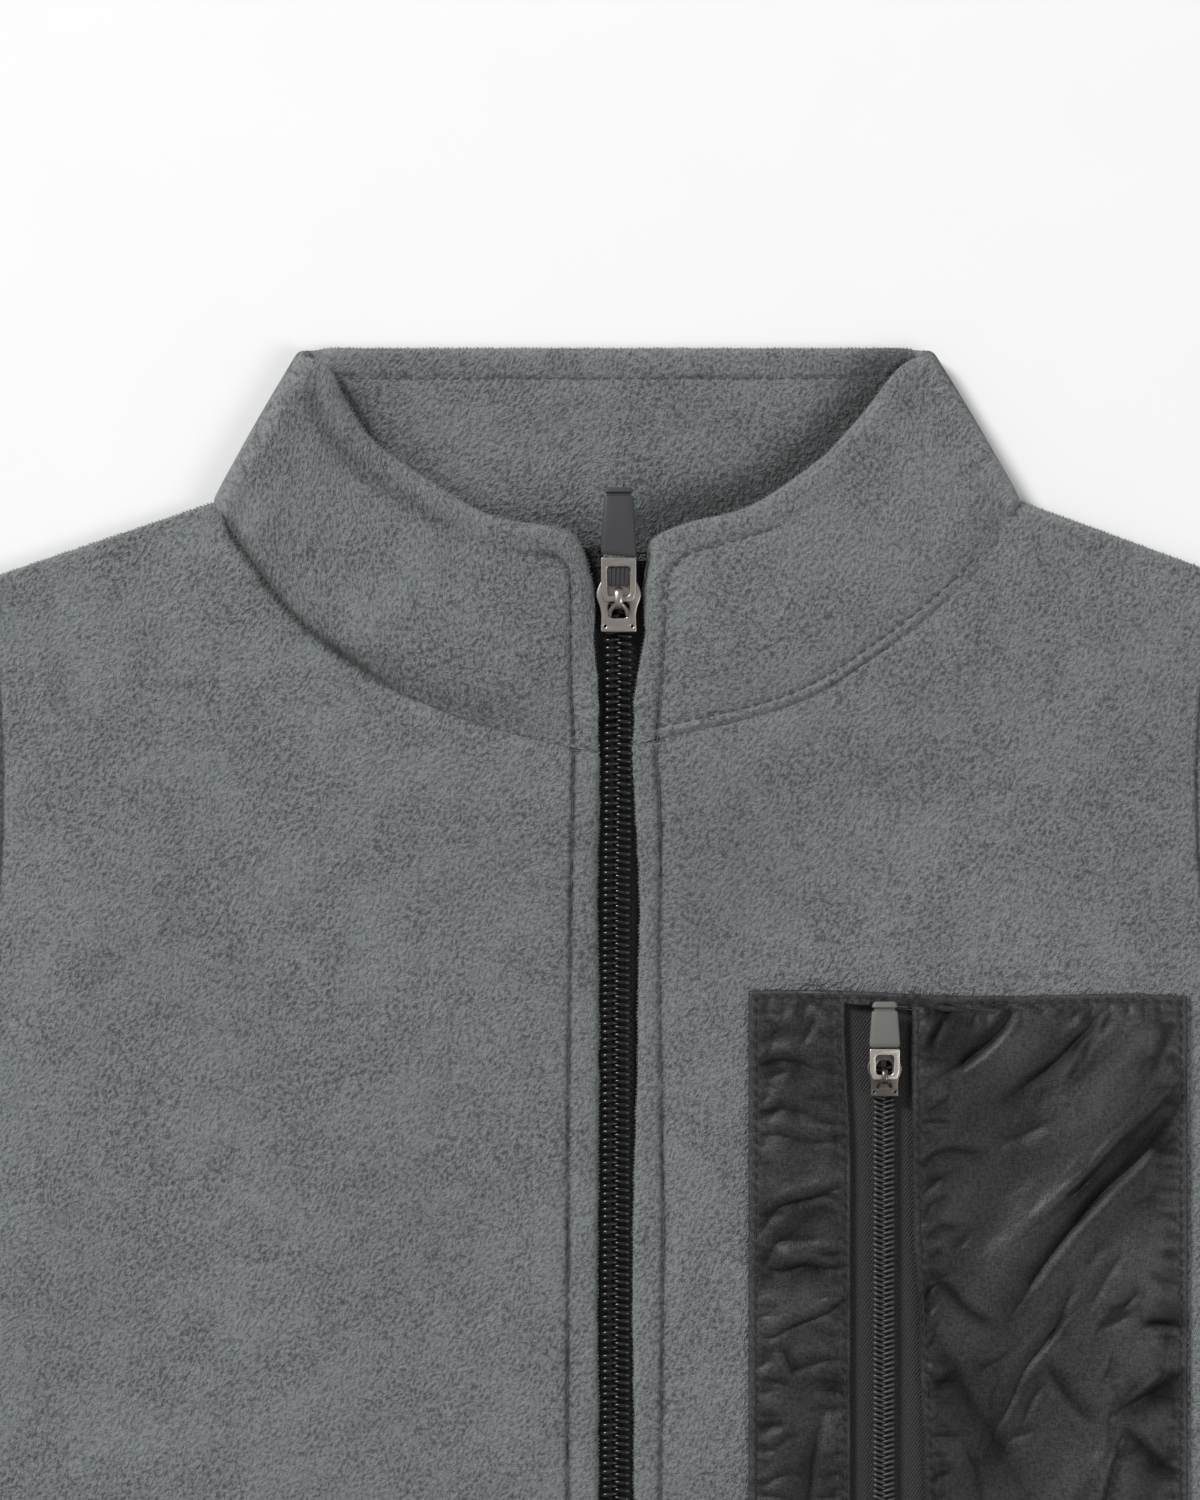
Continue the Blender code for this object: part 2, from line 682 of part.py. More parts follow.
# The pulls: frame half width, window half width, lengths from the hinge, grip half widths
MAIN_PULL = {
    "half": 0.0036, "window": 0.00235, "bar": 0.0006, "window_end": 0.0066, "frame_end": 0.0085,
    "grip_end": 0.0227, "grip_near": 0.0037, "grip_far": 0.0029, "thick": 0.0011, "grip_thick": 0.0021,
}
POCKET_PULL = {
    "half": 0.0031, "window": 0.0019, "bar": 0.0005, "window_end": 0.0045, "frame_end": 0.0058,
    "grip_end": 0.0154, "grip_near": 0.0032, "grip_far": 0.0025, "thick": 0.0009, "grip_thick": 0.0018,
}


def pull(name, hinge, size, parts):
    """A pull lying towards the collar, with its parent empty on the hinge's axis."""
    empty = bpy.data.objects.new(name + "_hinge", None)
    empty.location = hinge
    parts.objects.link(empty)
    bpy.context.view_layer.update()
    outer = [(-size["half"], -size["bar"]), (size["half"], -size["bar"]),
             (size["half"], size["frame_end"]), (-size["half"], size["frame_end"])]
    inner = [(-size["window"], size["bar"]), (size["window"], size["bar"]),
             (size["window"], size["window_end"]), (-size["window"], size["window_end"])]
    plate(name + "_frame", [outer, inner], size["thick"], hinge, "metal", parts, bevel=0.00022,
          parent=empty)
    start = size["frame_end"] + GAP
    grip = [(-size["grip_near"], start), (size["grip_near"], start),
            (size["grip_far"], size["grip_end"]), (-size["grip_far"], size["grip_end"])]
    plate(name + "_grip", [grip], size["grip_thick"], hinge, "rubber", parts, bevel=0.0004, parent=empty)


def make_main_zip(parts, cutters):
    tape_heights = [HEM_Y + 0.001, *np.linspace(-0.2, 0.08, 8), *np.linspace(0.09, SEAM_Y, 9),
                    0.165, *np.linspace(SLIDER_Y + 0.002, SLIDER_Y + 0.0085, 5), TAPE_TOP_Y]
    for side in SIDES:
        rows = strip_rows(tape_heights, main_tape_edges(side), main_tape_level(side))
        cloth("zip_tape_" + side, rows, TAPE, "tape", parts)
    end = SLIDER_Y + MAIN_SLIDER["length"] * 0.70
    start = HEM_Y + BOX_LENGTH + PIN_LENGTH + GAP
    chain_heights = [start, *np.linspace(-0.19, 0.08, 6), *np.linspace(0.09, SEAM_Y, 9),
                     0.165, SLIDER_Y, end]
    mesh = chain_mesh("zip_chain", chain_heights, chain_x, CHAIN_HALF, CHAIN_HEIGHT, zip_underside)
    add_object("zip_chain", mesh, "coil", parts)
    at = (chain_x(SLIDER_Y), SLIDER_Y, zip_underside(SLIDER_Y))
    hinge = slider("zip_slider", at, MAIN_SLIDER, parts, cutters)
    pull("zip_pull", hinge, MAIN_PULL, parts)
    level = zip_underside(HEM_Y + BOX_LENGTH / 2)
    tall = CHAIN_HEIGHT + 0.0003
    centre = (CHAIN_X, HEM_Y + 0.001 + BOX_LENGTH / 2, level + tall / 2)
    block("zip_box", (2 * CHAIN_HALF, BOX_LENGTH - 0.001, tall), centre, "coil", parts, bevel=0.0004)
    pin_y = HEM_Y + BOX_LENGTH + 0.0005 + GAP + PIN_LENGTH / 2
    block("zip_pin", (0.0022, PIN_LENGTH - 2 * GAP - 0.0005, 0.0018), (CHAIN_X, pin_y, level + 0.0009),
          "coil", parts, bevel=0.0003)


# ---------------------------------------------------------------- chest pocket


def pocket_base(x, y):
    """The fleece's outer face under the pocket."""
    return front_underside("left", x, y) + FLEECE


def pocket_top(x):
    share = (x - POCKET_X[0]) / (POCKET_X[1] - POCKET_X[0])
    return POCKET_Y[1] + 0.0006 - 0.0012 * share + 0.0004 * math.sin(9 * share)


def pocket_creases(x, y):
    total = 0.0
    for x1, y1, x2, y2, half, height in POCKET_CREASES:
        run = np.array([x2 - x1, y2 - y1])
        length = np.linalg.norm(run)
        along = ((x - x1) * run[0] + (y - y1) * run[1]) / length
        across = ((x - x1) * run[1] - (y - y1) * run[0]) / length
        ends = smooth(along, -0.004, 0.004) * (1 - smooth(along, length - 0.004, length + 0.004))
        total += height * ends * math.exp(-((across / half) ** 2))
    return total


def pocket_level(x, y):
    """Underside of the pocket cloth: stitched down at its edges, over the tape by the zip."""
    to_sides = min(x - POCKET_X[0], POCKET_X[1] - x)
    to_ends = min(pocket_top(x) - y, y - POCKET_Y[0])
    to_edge = min(to_sides, to_ends)
    to_zip = min(abs(x - POCKET_WINDOW[0]), abs(x - POCKET_WINDOW[1]))
    over_tape = POCKET_TAPE_LIFT + TAPE + GAP
    near_zip = 1 - smooth(to_zip, 0.0045, 0.0110)
    inside = smooth(to_edge, 0.001, 0.010)
    lift = over_tape * near_zip + (1 - near_zip) * inside * POCKET_PUFF
    creases = pocket_creases(x, y) * inside * (1 - near_zip)
    return pocket_base(x, y) + GAP + max(lift + creases, 0.0)


def pocket_rows(columns, rows):
    out = []
    for share in np.linspace(0, 1, rows + 1):
        out.append([(x, POCKET_Y[0] + (pocket_top(x) - POCKET_Y[0]) * share,
                     pocket_level(x, POCKET_Y[0] + (pocket_top(x) - POCKET_Y[0]) * share))
                    for x in columns])
    return out


def make_pocket(parts, cutters):
    strip = np.linspace(POCKET_X[0], POCKET_WINDOW[0], 7)
    wide = np.linspace(POCKET_WINDOW[1], POCKET_X[1], 16)
    cloth("pocket_strip", pocket_rows(strip, 30), NYLON, "nylon", parts)
    cloth("pocket_panel", pocket_rows(wide, 30), NYLON, "nylon", parts)

    def tape_level(x, y):
        return pocket_base(x, y) + POCKET_TAPE_LIFT

    heights = np.linspace(POCKET_Y[0] + 0.0010, POCKET_Y[1] - 0.0010, 16)
    slit = POCKET_SLIDER_Y + 0.0055
    for side in SIDES:
        sign = SIDES[side]["sign"]

        def edges(y, sign=sign):
            spread = 0.0018 * smooth(y, slit - 0.0025, slit)
            inner = POCKET_CHAIN_X + sign * (TAPE_SLIT + spread)
            outer = POCKET_CHAIN_X + sign * POCKET_TAPE_REACH
            return (outer, inner) if sign < 0 else (inner, outer)

        rows = strip_rows(heights, edges, tape_level)
        cloth("pocket_tape_" + side, rows, TAPE, "tape", parts)

    def chain_level(y):
        return tape_level(POCKET_CHAIN_X, y) + TAPE + GAP

    end = POCKET_SLIDER_Y + POCKET_SLIDER["length"] * 0.68
    chain_heights = [*np.linspace(POCKET_Y[0] + 0.002, POCKET_SLIDER_Y, 12), end]
    mesh = chain_mesh("pocket_chain", chain_heights, lambda y: POCKET_CHAIN_X, POCKET_CHAIN_HALF,
                      POCKET_CHAIN_HEIGHT, chain_level)
    add_object("pocket_chain", mesh, "coil", parts)
    at = (POCKET_CHAIN_X, POCKET_SLIDER_Y, chain_level(POCKET_SLIDER_Y + POCKET_SLIDER["length"] / 2))
    hinge = slider("pocket_slider", at, POCKET_SLIDER, parts, cutters)
    pull("pocket_pull", hinge, POCKET_PULL, parts)


def main():
    clear_scene()
    parts = collection(COLLECTION)
    cutters = collection(CUTTER_COLLECTION)
    make_panels(parts)
    make_main_zip(parts, cutters)
    make_pocket(parts, cutters)


main()
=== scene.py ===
import json
import math
from functools import partial

import bmesh
import bpy
import numpy as np
from mathutils import Matrix, Vector


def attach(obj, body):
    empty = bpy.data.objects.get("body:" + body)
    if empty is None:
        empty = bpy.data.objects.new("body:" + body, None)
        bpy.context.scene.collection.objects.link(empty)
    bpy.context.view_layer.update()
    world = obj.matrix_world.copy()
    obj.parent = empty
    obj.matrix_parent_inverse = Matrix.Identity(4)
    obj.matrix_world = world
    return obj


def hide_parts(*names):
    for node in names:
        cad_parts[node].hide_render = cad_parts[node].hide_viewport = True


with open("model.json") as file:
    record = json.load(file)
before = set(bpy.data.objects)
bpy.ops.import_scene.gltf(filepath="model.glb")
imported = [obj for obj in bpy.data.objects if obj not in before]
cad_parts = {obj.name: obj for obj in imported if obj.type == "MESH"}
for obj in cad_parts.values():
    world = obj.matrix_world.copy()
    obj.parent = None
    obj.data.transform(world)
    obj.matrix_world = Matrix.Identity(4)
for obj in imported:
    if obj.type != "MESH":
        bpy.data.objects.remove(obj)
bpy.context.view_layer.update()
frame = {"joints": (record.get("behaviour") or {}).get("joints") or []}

# Fleece gilet lying flat on its back. Metres; hem at -Y, collar at +Y, chest pocket at +X.


# ---- small tools

def smooth(value, low=0.0, high=1.0):
    t = np.clip((value - low) / (high - low), 0.0, 1.0)
    return t * t * (3 - 2 * t)


def bell(value, width):
    return np.exp(-((value / width) ** 2))


def softNoise(x, y, sizeX, sizeY, seed):  # smooth random values around 0, about -1 to 1
    table = np.random.default_rng(seed).uniform(-1, 1, (97, 89))
    gx, gy = x / sizeX + 31.7, y / sizeY + 23.3
    ix, iy = np.floor(gx).astype(int), np.floor(gy).astype(int)
    fx, fy = smooth(gx - ix), smooth(gy - iy)
    at = lambda i, j: table[i % 97, j % 89]
    low = at(ix, iy) * (1 - fx) + at(ix + 1, iy) * fx
    high = at(ix, iy + 1) * (1 - fx) + at(ix + 1, iy + 1) * fx
    return low * (1 - fy) + high * fy


def curveThrough(points, steps=16):
    p = np.array(points, float)
    ends = np.vstack([2 * p[0] - p[1], p, 2 * p[-1] - p[-2]])
    t = (np.arange(steps) / steps)[:, None]
    spans = [
        0.5 * (2 * b + (c - a) * t + (2 * a - 5 * b + 4 * c - d) * t**2 + (3 * b - a - 3 * c + d) * t**3)
        for a, b, c, d in zip(ends, ends[1:], ends[2:], ends[3:])
    ]
    return np.vstack([*spans, p[-1:]])


def walked(points):
    return np.concatenate([[0.0], np.cumsum(np.linalg.norm(np.diff(points, axis=0), axis=1))])


def alongPath(points, distance):
    run = walked(points)
    return np.array([np.interp(distance, run, points[:, k]) for k in range(points.shape[1])]).T


def toPath(points, x, y):  # distance to a path, how far along it the nearest point is, and on which side
    run = walked(points)
    a, b = points[:-1], points[1:]
    step = b - a
    long = np.maximum((step**2).sum(1), 1e-12)
    flat = np.stack([np.ravel(x), np.ravel(y)], 1)
    best, where, left = np.full(len(flat), 1e9), np.zeros(len(flat)), np.ones(len(flat))
    for k in range(len(a)):
        t = np.clip(((flat - a[k]) @ step[k]) / long[k], 0, 1)
        away = np.hypot(*(flat - a[k] - t[:, None] * step[k]).T)
        near = away < best
        best[near], where[near] = away[near], run[k] + t[near] * math.sqrt(long[k])
        turn = step[k, 0] * (flat[:, 1] - a[k, 1]) - step[k, 1] * (flat[:, 0] - a[k, 0])
        left[near] = np.sign(turn[near])
    return [values.reshape(np.shape(x)) for values in (best, where, left)]


def addObject(name, data):
    made = bpy.data.objects.new(name, data)
    bpy.context.scene.collection.objects.link(made)
    return made


def meshObject(name, points, faces, finish=None):
    mesh = bpy.data.meshes.new(name)
    mesh.from_pydata([tuple(map(float, p)) for p in points], [], [tuple(map(int, f)) for f in faces])
    mesh.validate()
    mesh.shade_smooth()
    if finish:
        mesh.materials.append(finish)
    return addObject(name, mesh)


def gridFaces(rows, columns, start=0, flip=False):
    index = np.arange(rows * columns).reshape(rows, columns) + start
    quads = np.stack([index[:-1, :-1], index[:-1, 1:], index[1:, 1:], index[1:, :-1]], -1).reshape(-1, 4)
    return quads[:, ::-1] if flip else quads


def normalsOf(grid):
    across, up = np.gradient(grid, axis=1), np.gradient(grid, axis=0)
    n = np.cross(across, up)
    return n / np.maximum(np.linalg.norm(n, axis=2, keepdims=True), 1e-12)


def shell(name, middle, half, finish, outerLift=0.0, innerLift=0.0, flip=False, coords=None, press=None):
    # a closed wall of cloth round a middle surface: its outer side, its inner side and the rim between
    normal = normalsOf(middle) * (-1 if flip else 1)
    outer = middle + normal * (half + outerLift)[..., None]
    inner = middle - normal * (half + innerLift)[..., None]
    rows, columns = half.shape
    count = rows * columns
    ring = np.concatenate([
        np.arange(columns), np.arange(1, rows) * columns + columns - 1,
        np.arange(columns - 2, -1, -1) + (rows - 1) * columns, np.arange(rows - 2, 0, -1) * columns])
    after = np.roll(ring, -1)
    rim = np.stack([ring, ring + count, after + count, after], 1)
    if flip:
        rim = rim[:, ::-1]
    faces = np.vstack([gridFaces(rows, columns, 0, flip), gridFaces(rows, columns, count, not flip), rim])
    made = meshObject(name, np.vstack([outer.reshape(-1, 3), inner.reshape(-1, 3)]), faces, finish)
    if coords is None:
        coords = middle
    shift = normal * half[..., None] if coords is middle else np.stack([0 * half, 0 * half, half], -1)
    pile = np.vstack([(coords + shift).reshape(-1, 3), (coords - shift).reshape(-1, 3)])
    layer = made.data.attributes.new("pile", "FLOAT_VECTOR", "POINT")
    layer.data.foreach_set("vector", pile.astype(np.float32).ravel())
    # the second attribute: how far the pile is pressed at the stitching, and painted shade
    pressed = np.zeros((rows, columns)) if press is None else press
    layer = made.data.attributes.new("press", "FLOAT", "POINT")
    layer.data.foreach_set("value", np.concatenate([pressed.ravel(), pressed.ravel()]).astype(np.float32))
    return made


def place(made, body, slot, *nodes):
    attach(made, body)
    if nodes:
        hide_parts(*nodes)
    return made


# ---- materials

def linear(hexColour):
    values = [int(hexColour[k:k + 2], 16) / 255 for k in (1, 3, 5)]
    return [v / 12.92 if v <= 0.04045 else ((v + 0.055) / 1.055) ** 2.4 for v in values] + [1.0]


def addNode(tree, kind, sockets=None, out=0, stops=(), **settings):
    # sockets take links or plain values, stops are those of a colour ramp; kind can be a node already there
    node = tree.nodes.new(kind) if isinstance(kind, str) else kind
    for key, value in settings.items():
        setattr(node, key, value)
    for key, value in (sockets or {}).items():
        if isinstance(value, bpy.types.NodeSocket):
            tree.links.new(value, node.inputs[key])
        else:
            node.inputs[key].default_value = value
    if stops:
        points = node.color_ramp.elements
        while len(points) < len(stops):
            points.new(0.5)
        for point, (at, colour) in zip(points, stops):
            point.position, point.color = at, linear(colour)
    return node if out is None else node.outputs[out]


def newMaterial(name, roughness, metallic=0.0, **sockets):
    made = bpy.data.materials.new(name)
    made.use_nodes = True
    add, shader = partial(addNode, made.node_tree), made.node_tree.nodes["Principled BSDF"]
    add(shader, {"Roughness": roughness, "Metallic": metallic})
    add(shader, {key.replace("_", " "): value for key, value in sockets.items()})
    return made, add, shader


fleeceLook = {
    # the darkest colour is painted shade in the cracks between clumps, the lightest the clumps' tops
    "crackShade": "#4d5152", "body": "#717576", "tip": "#7e8283",
    "clumpMm": 0.78,  # clumps are about 1.3 mm apart
    "stretch": 1.30,  # clumps are longer up the garment than across
    "lean": -0.42,  # radians; they lean towards the wearer's left
    "wanderMm": 9.0, "wander": 0.0022, "patchMm": 11.0, "fibreMm": 0.26, "depth": 0.00088,
    "pressed": -0.60, "shaded": -0.30,  # how much darker the pile is where stitches press it down, and where shade is painted
}


def fleeceMaterial():
    # polyester polar fleece: knitted, brushed and sheared, so its pile stands in small matted clumps;
    # it is matt and a little lighter at grazing angles, with painted shade darkening the cracks between
    # clumps
    look = fleeceLook
    made, add, shader = newMaterial("polarFleece", 0.95, Sheen_Weight=0.2, Sheen_Roughness=0.6,
                                    Specular_IOR_Level=0.15)
    pile = add("ShaderNodeAttribute", out="Vector", attribute_name="pile")
    press = add("ShaderNodeAttribute", out="Fac", attribute_name="press")
    wander = add("ShaderNodeTexNoise", {"Vector": pile, "Scale": 1000 / look["wanderMm"]}, "Color")
    centred = add("ShaderNodeVectorMath", {0: wander, 1: (0.5, 0.5, 0.5)}, operation="SUBTRACT")
    moved = add("ShaderNodeVectorMath", {0: centred, "Scale": look["wander"]}, operation="SCALE")
    bent = add("ShaderNodeVectorMath", {0: pile, 1: moved}, operation="ADD")
    drawn = add("ShaderNodeMapping", {"Vector": bent, "Scale": (1, look["stretch"], 1),
                                      "Rotation": (0, 0, look["lean"])}, vector_type="TEXTURE")
    clump, fibres, patches, clouds = [
        add("ShaderNodeTexNoise", {"Vector": where, "Scale": scale, "Detail": detail, "Roughness": rough},
            "Fac")
        for where, scale, detail, rough in (
            (drawn, 1000 / look["clumpMm"], 2.6, 0.62), (drawn, 1000 / look["fibreMm"], 1.0, 0.5),
            (pile, 1000 / look["patchMm"], 2.5, 0.5), (pile, 24.0, 3.0, 0.5))]
    centred = add("ShaderNodeMath", {0: clump, 1: 0.5}, operation="SUBTRACT")
    rounded = add("ShaderNodeMath", {0: centred, 1: 2.9}, operation="MULTIPLY")
    fine = add("ShaderNodeMath", {0: fibres, 1: 0.30}, operation="MULTIPLY")
    patch, cloud = [
        add("ShaderNodeMapRange", {"Value": value, "From Min": low, "From Max": high, "To Min": dark,
                                   "To Max": pale}, interpolation_type="SMOOTHSTEP")
        for value, low, high, dark, pale in (
            (patches, 0.36, 0.64, 0.62, 1.12), (clouds, 0.3, 0.7, 0.965, 1.03))]
    height = add("ShaderNodeMath", {0: rounded, 1: patch, 2: fine}, operation="MULTIPLY_ADD")
    bump = add("ShaderNodeBump", {"Height": height, "Strength": 0.9, "Distance": look["depth"]})
    # painted shade: darkest in the cracks between clumps, lighter on their tops, and darker where the
    # attribute marks pressed pile or painted shade
    opened = add("ShaderNodeMapRange", {"Value": height, "From Min": -0.50, "From Max": 0.60},
                 interpolation_type="SMOOTHSTEP")
    tone = add("ShaderNodeMath", {0: press, 1: look["pressed"], 2: opened}, operation="MULTIPLY_ADD")
    tinted = add("ShaderNodeValToRGB", {"Fac": tone},
                 stops=[(0.0, look["crackShade"]), (0.55, look["body"]), (1.0, look["tip"])])
    shaded = add("ShaderNodeMath", {0: press, 1: look["shaded"], 2: 1.0}, operation="MULTIPLY_ADD")
    shade = add("ShaderNodeMath", {0: cloud, 1: shaded}, operation="MULTIPLY")
    colour = add("ShaderNodeVectorMath", {0: tinted, "Scale": shade}, operation="SCALE")
    add(shader, {"Normal": bump, "Base Color": colour})
    return made


# the fold colour is painted shade for creases, puckers, hollows and stitched lines
nylonLook = {"low": "#202021", "high": "#3e3e40", "fold": "#050505", "grainMm": 0.36}


def nylonMaterial():
    # calendered nylon taffeta: fine plain weave with slightly uneven yarns, a soft satin shine
    look = nylonLook
    made, add, shader = newMaterial("nylonTaffeta", 0.50, Sheen_Weight=0.10, Sheen_Roughness=0.4)
    pile = add("ShaderNodeAttribute", out="Vector", attribute_name="pile")
    press = add("ShaderNodeAttribute", out="Fac", attribute_name="press")
    yarns = []
    for stretch in ((1.0, 0.35, 1.0), (0.35, 1.0, 1.0)):
        drawn = add("ShaderNodeMapping", {"Vector": pile, "Scale": stretch})
        yarns.append(add("ShaderNodeTexNoise",
                         {"Vector": drawn, "Scale": 1000 / look["grainMm"], "Detail": 1.5}, "Fac"))
    weave = add("ShaderNodeMath", dict(enumerate(yarns)), operation="ADD")
    soft = add("ShaderNodeTexNoise", {"Vector": pile, "Scale": 150.0, "Detail": 3.0}, "Fac")
    first = add("ShaderNodeBump", {"Height": soft, "Strength": 0.5, "Distance": 0.0011})
    bump = add("ShaderNodeBump", {"Height": weave, "Normal": first, "Strength": 0.6, "Distance": 0.00010})
    shade = add("ShaderNodeMapRange", {"Value": weave, "From Min": 0.75, "From Max": 1.25})
    plain = add("ShaderNodeValToRGB", {"Fac": shade}, stops=[(0, look["low"]), (1, look["high"])])
    # painted shade: mixed towards the fold colour where the attribute marks it, and the shine is cut there
    # too
    tone = add("ShaderNodeMix", {0: press, 6: plain, 7: linear(look["fold"])}, 2, data_type="RGBA")
    shine = add("ShaderNodeMapRange", {"Value": press, "To Min": 0.44, "To Max": 0.05})
    add(shader, {"Normal": bump, "Base Color": tone, "Specular IOR Level": shine})
    return made


def tapeMaterial():
    # woven polyester twill tape: fine diagonal ribs, matt black
    made, add, shader = newMaterial("twillTape", 0.8, Sheen_Weight=0.15)
    pile = add("ShaderNodeAttribute", out="Vector", attribute_name="pile")
    turned = add("ShaderNodeMapping", {"Vector": pile, "Rotation": (0, 0, math.radians(35))})
    ribs = add("ShaderNodeTexWave", {"Vector": turned, "Scale": 560.0, "Distortion": 2.4, "Detail": 2.0,
                                     "Detail Scale": 3.0}, "Fac", bands_direction="X")
    threads = add("ShaderNodeTexNoise", {"Vector": pile, "Scale": 2200.0, "Detail": 1.0}, "Fac")
    height = add("ShaderNodeMath", {0: ribs, 1: threads}, operation="ADD")
    bump = add("ShaderNodeBump", {"Height": height, "Strength": 0.8, "Distance": 0.00017})
    shade = add("ShaderNodeMapRange", {"Value": height, "From Min": 0.4, "From Max": 1.6})
    colour = add("ShaderNodeValToRGB", {"Fac": shade}, stops=[(0, "#0f0f10"), (1, "#2c2c2d")])
    add(shader, {"Normal": bump, "Base Color": colour})
    return made


def coilMaterial(name, low, high, smoothest, roughest):
    # extruded nylon monofilament, heat set into a coil: smooth, with small bright glints
    made, add, shader = newMaterial(name, 0.3, Specular_IOR_Level=0.5)
    where = add("ShaderNodeTexCoord", out="Object")
    grime = add("ShaderNodeTexNoise", {"Vector": where, "Scale": 900.0, "Detail": 2.0}, "Fac")
    colour = add("ShaderNodeValToRGB", {"Fac": grime}, stops=[(0.3, low), (0.7, high)])
    rough = add("ShaderNodeMapRange", {"Value": grime, "To Min": smoothest, "To Max": roughest})
    add(shader, {"Base Color": colour, "Roughness": rough})
    return made


def metalMaterial(name, low, high):
    # die-cast zinc, tumbled and satin nickel plated: warm grey, faintly brushed along its length
    made, add, shader = newMaterial(name, 0.34, 1.0)
    where = add("ShaderNodeTexCoord", out="Object")
    drawn = add("ShaderNodeMapping", {"Vector": where, "Scale": (1.0, 0.08, 1.0)})
    lines = add("ShaderNodeTexNoise", {"Vector": drawn, "Scale": 9000.0, "Detail": 2.0}, "Fac")
    pits = add("ShaderNodeTexNoise", {"Vector": where, "Scale": 3500.0, "Detail": 3.0, "Roughness": 0.65},
               "Fac")
    both = add("ShaderNodeMath", {0: lines, 1: pits}, operation="ADD")
    rough = add("ShaderNodeMapRange", {"Value": both, "From Min": 0.6, "From Max": 1.4, "To Min": 0.27,
                                       "To Max": 0.45})
    colour = add("ShaderNodeValToRGB", {"Fac": both}, stops=[(0.35, low), (0.65, high)])
    bump = add("ShaderNodeBump", {"Height": both, "Strength": 0.25, "Distance": 0.00004})
    add(shader, {"Roughness": rough, "Base Color": colour, "Normal": bump})
    return made


def rubberMaterial(name, low, high):
    # injection-moulded soft PVC grip: matt skin with a very fine moulding grain
    made, add, shader = newMaterial(name, 0.5, Specular_IOR_Level=0.22)
    where = add("ShaderNodeTexCoord", out="Object")
    grain, wipe = [add("ShaderNodeTexNoise", {"Vector": where, "Scale": scale, "Detail": 2.0}, "Fac")
                   for scale in (3000.0, 260.0)]
    both = add("ShaderNodeMath", {0: grain, 1: wipe}, operation="ADD")
    colour = add("ShaderNodeValToRGB", {"Fac": both}, stops=[(0.3, low), (0.7, high)])
    bump = add("ShaderNodeBump", {"Height": grain, "Strength": 0.3, "Distance": 0.00004})
    add(shader, {"Base Color": colour, "Normal": bump})
    return made


def threadMaterial(name, low, high):
    # spun polyester sewing thread: two plies, slightly hairy and matt
    made, add, shader = newMaterial(name, 0.75, Sheen_Weight=0.2)
    where = add("ShaderNodeTexCoord", out="Object")
    plies = add("ShaderNodeTexNoise", {"Vector": where, "Scale": 4000.0, "Detail": 2.0}, "Fac")
    add(shader, {"Base Color": add("ShaderNodeValToRGB", {"Fac": plies}, stops=[(0.3, low), (0.7, high)])})
    return made


fleece = fleeceMaterial()
nylon = nylonMaterial()
tape = tapeMaterial()
mainWire = coilMaterial("nylonCoil", "#111112", "#1e1e1f", 0.15, 0.26)
pocketWire = coilMaterial("nylonCoilFine", "#29292a", "#3c3c3d", 0.32, 0.46)
nickel = metalMaterial("satinNickel", "#7b7571", "#a8a19b")
# the pocket's slider is duller than the main one, its pull's frame brighter
darkNickel = metalMaterial("agedNickel", "#4c4844", "#726d68")
paleNickel = metalMaterial("paleNickel", "#a29c95", "#ccc6be")
mainRubber = rubberMaterial("mouldedGrip", "#2e2e30", "#3e3e41")
pocketRubber = rubberMaterial("mouldedGripPale", "#4f4f4d", "#676764")
fibre = threadMaterial("fleeceFibre", "#63676a", "#7c8082")
greyThread = threadMaterial("greyThread", "#3a3d3f", "#4e5254")
blackThread = threadMaterial("blackThread", "#0e0e0f", "#1d1d1e")
print("materials made")


# ---- the cut of the garment, as it lies

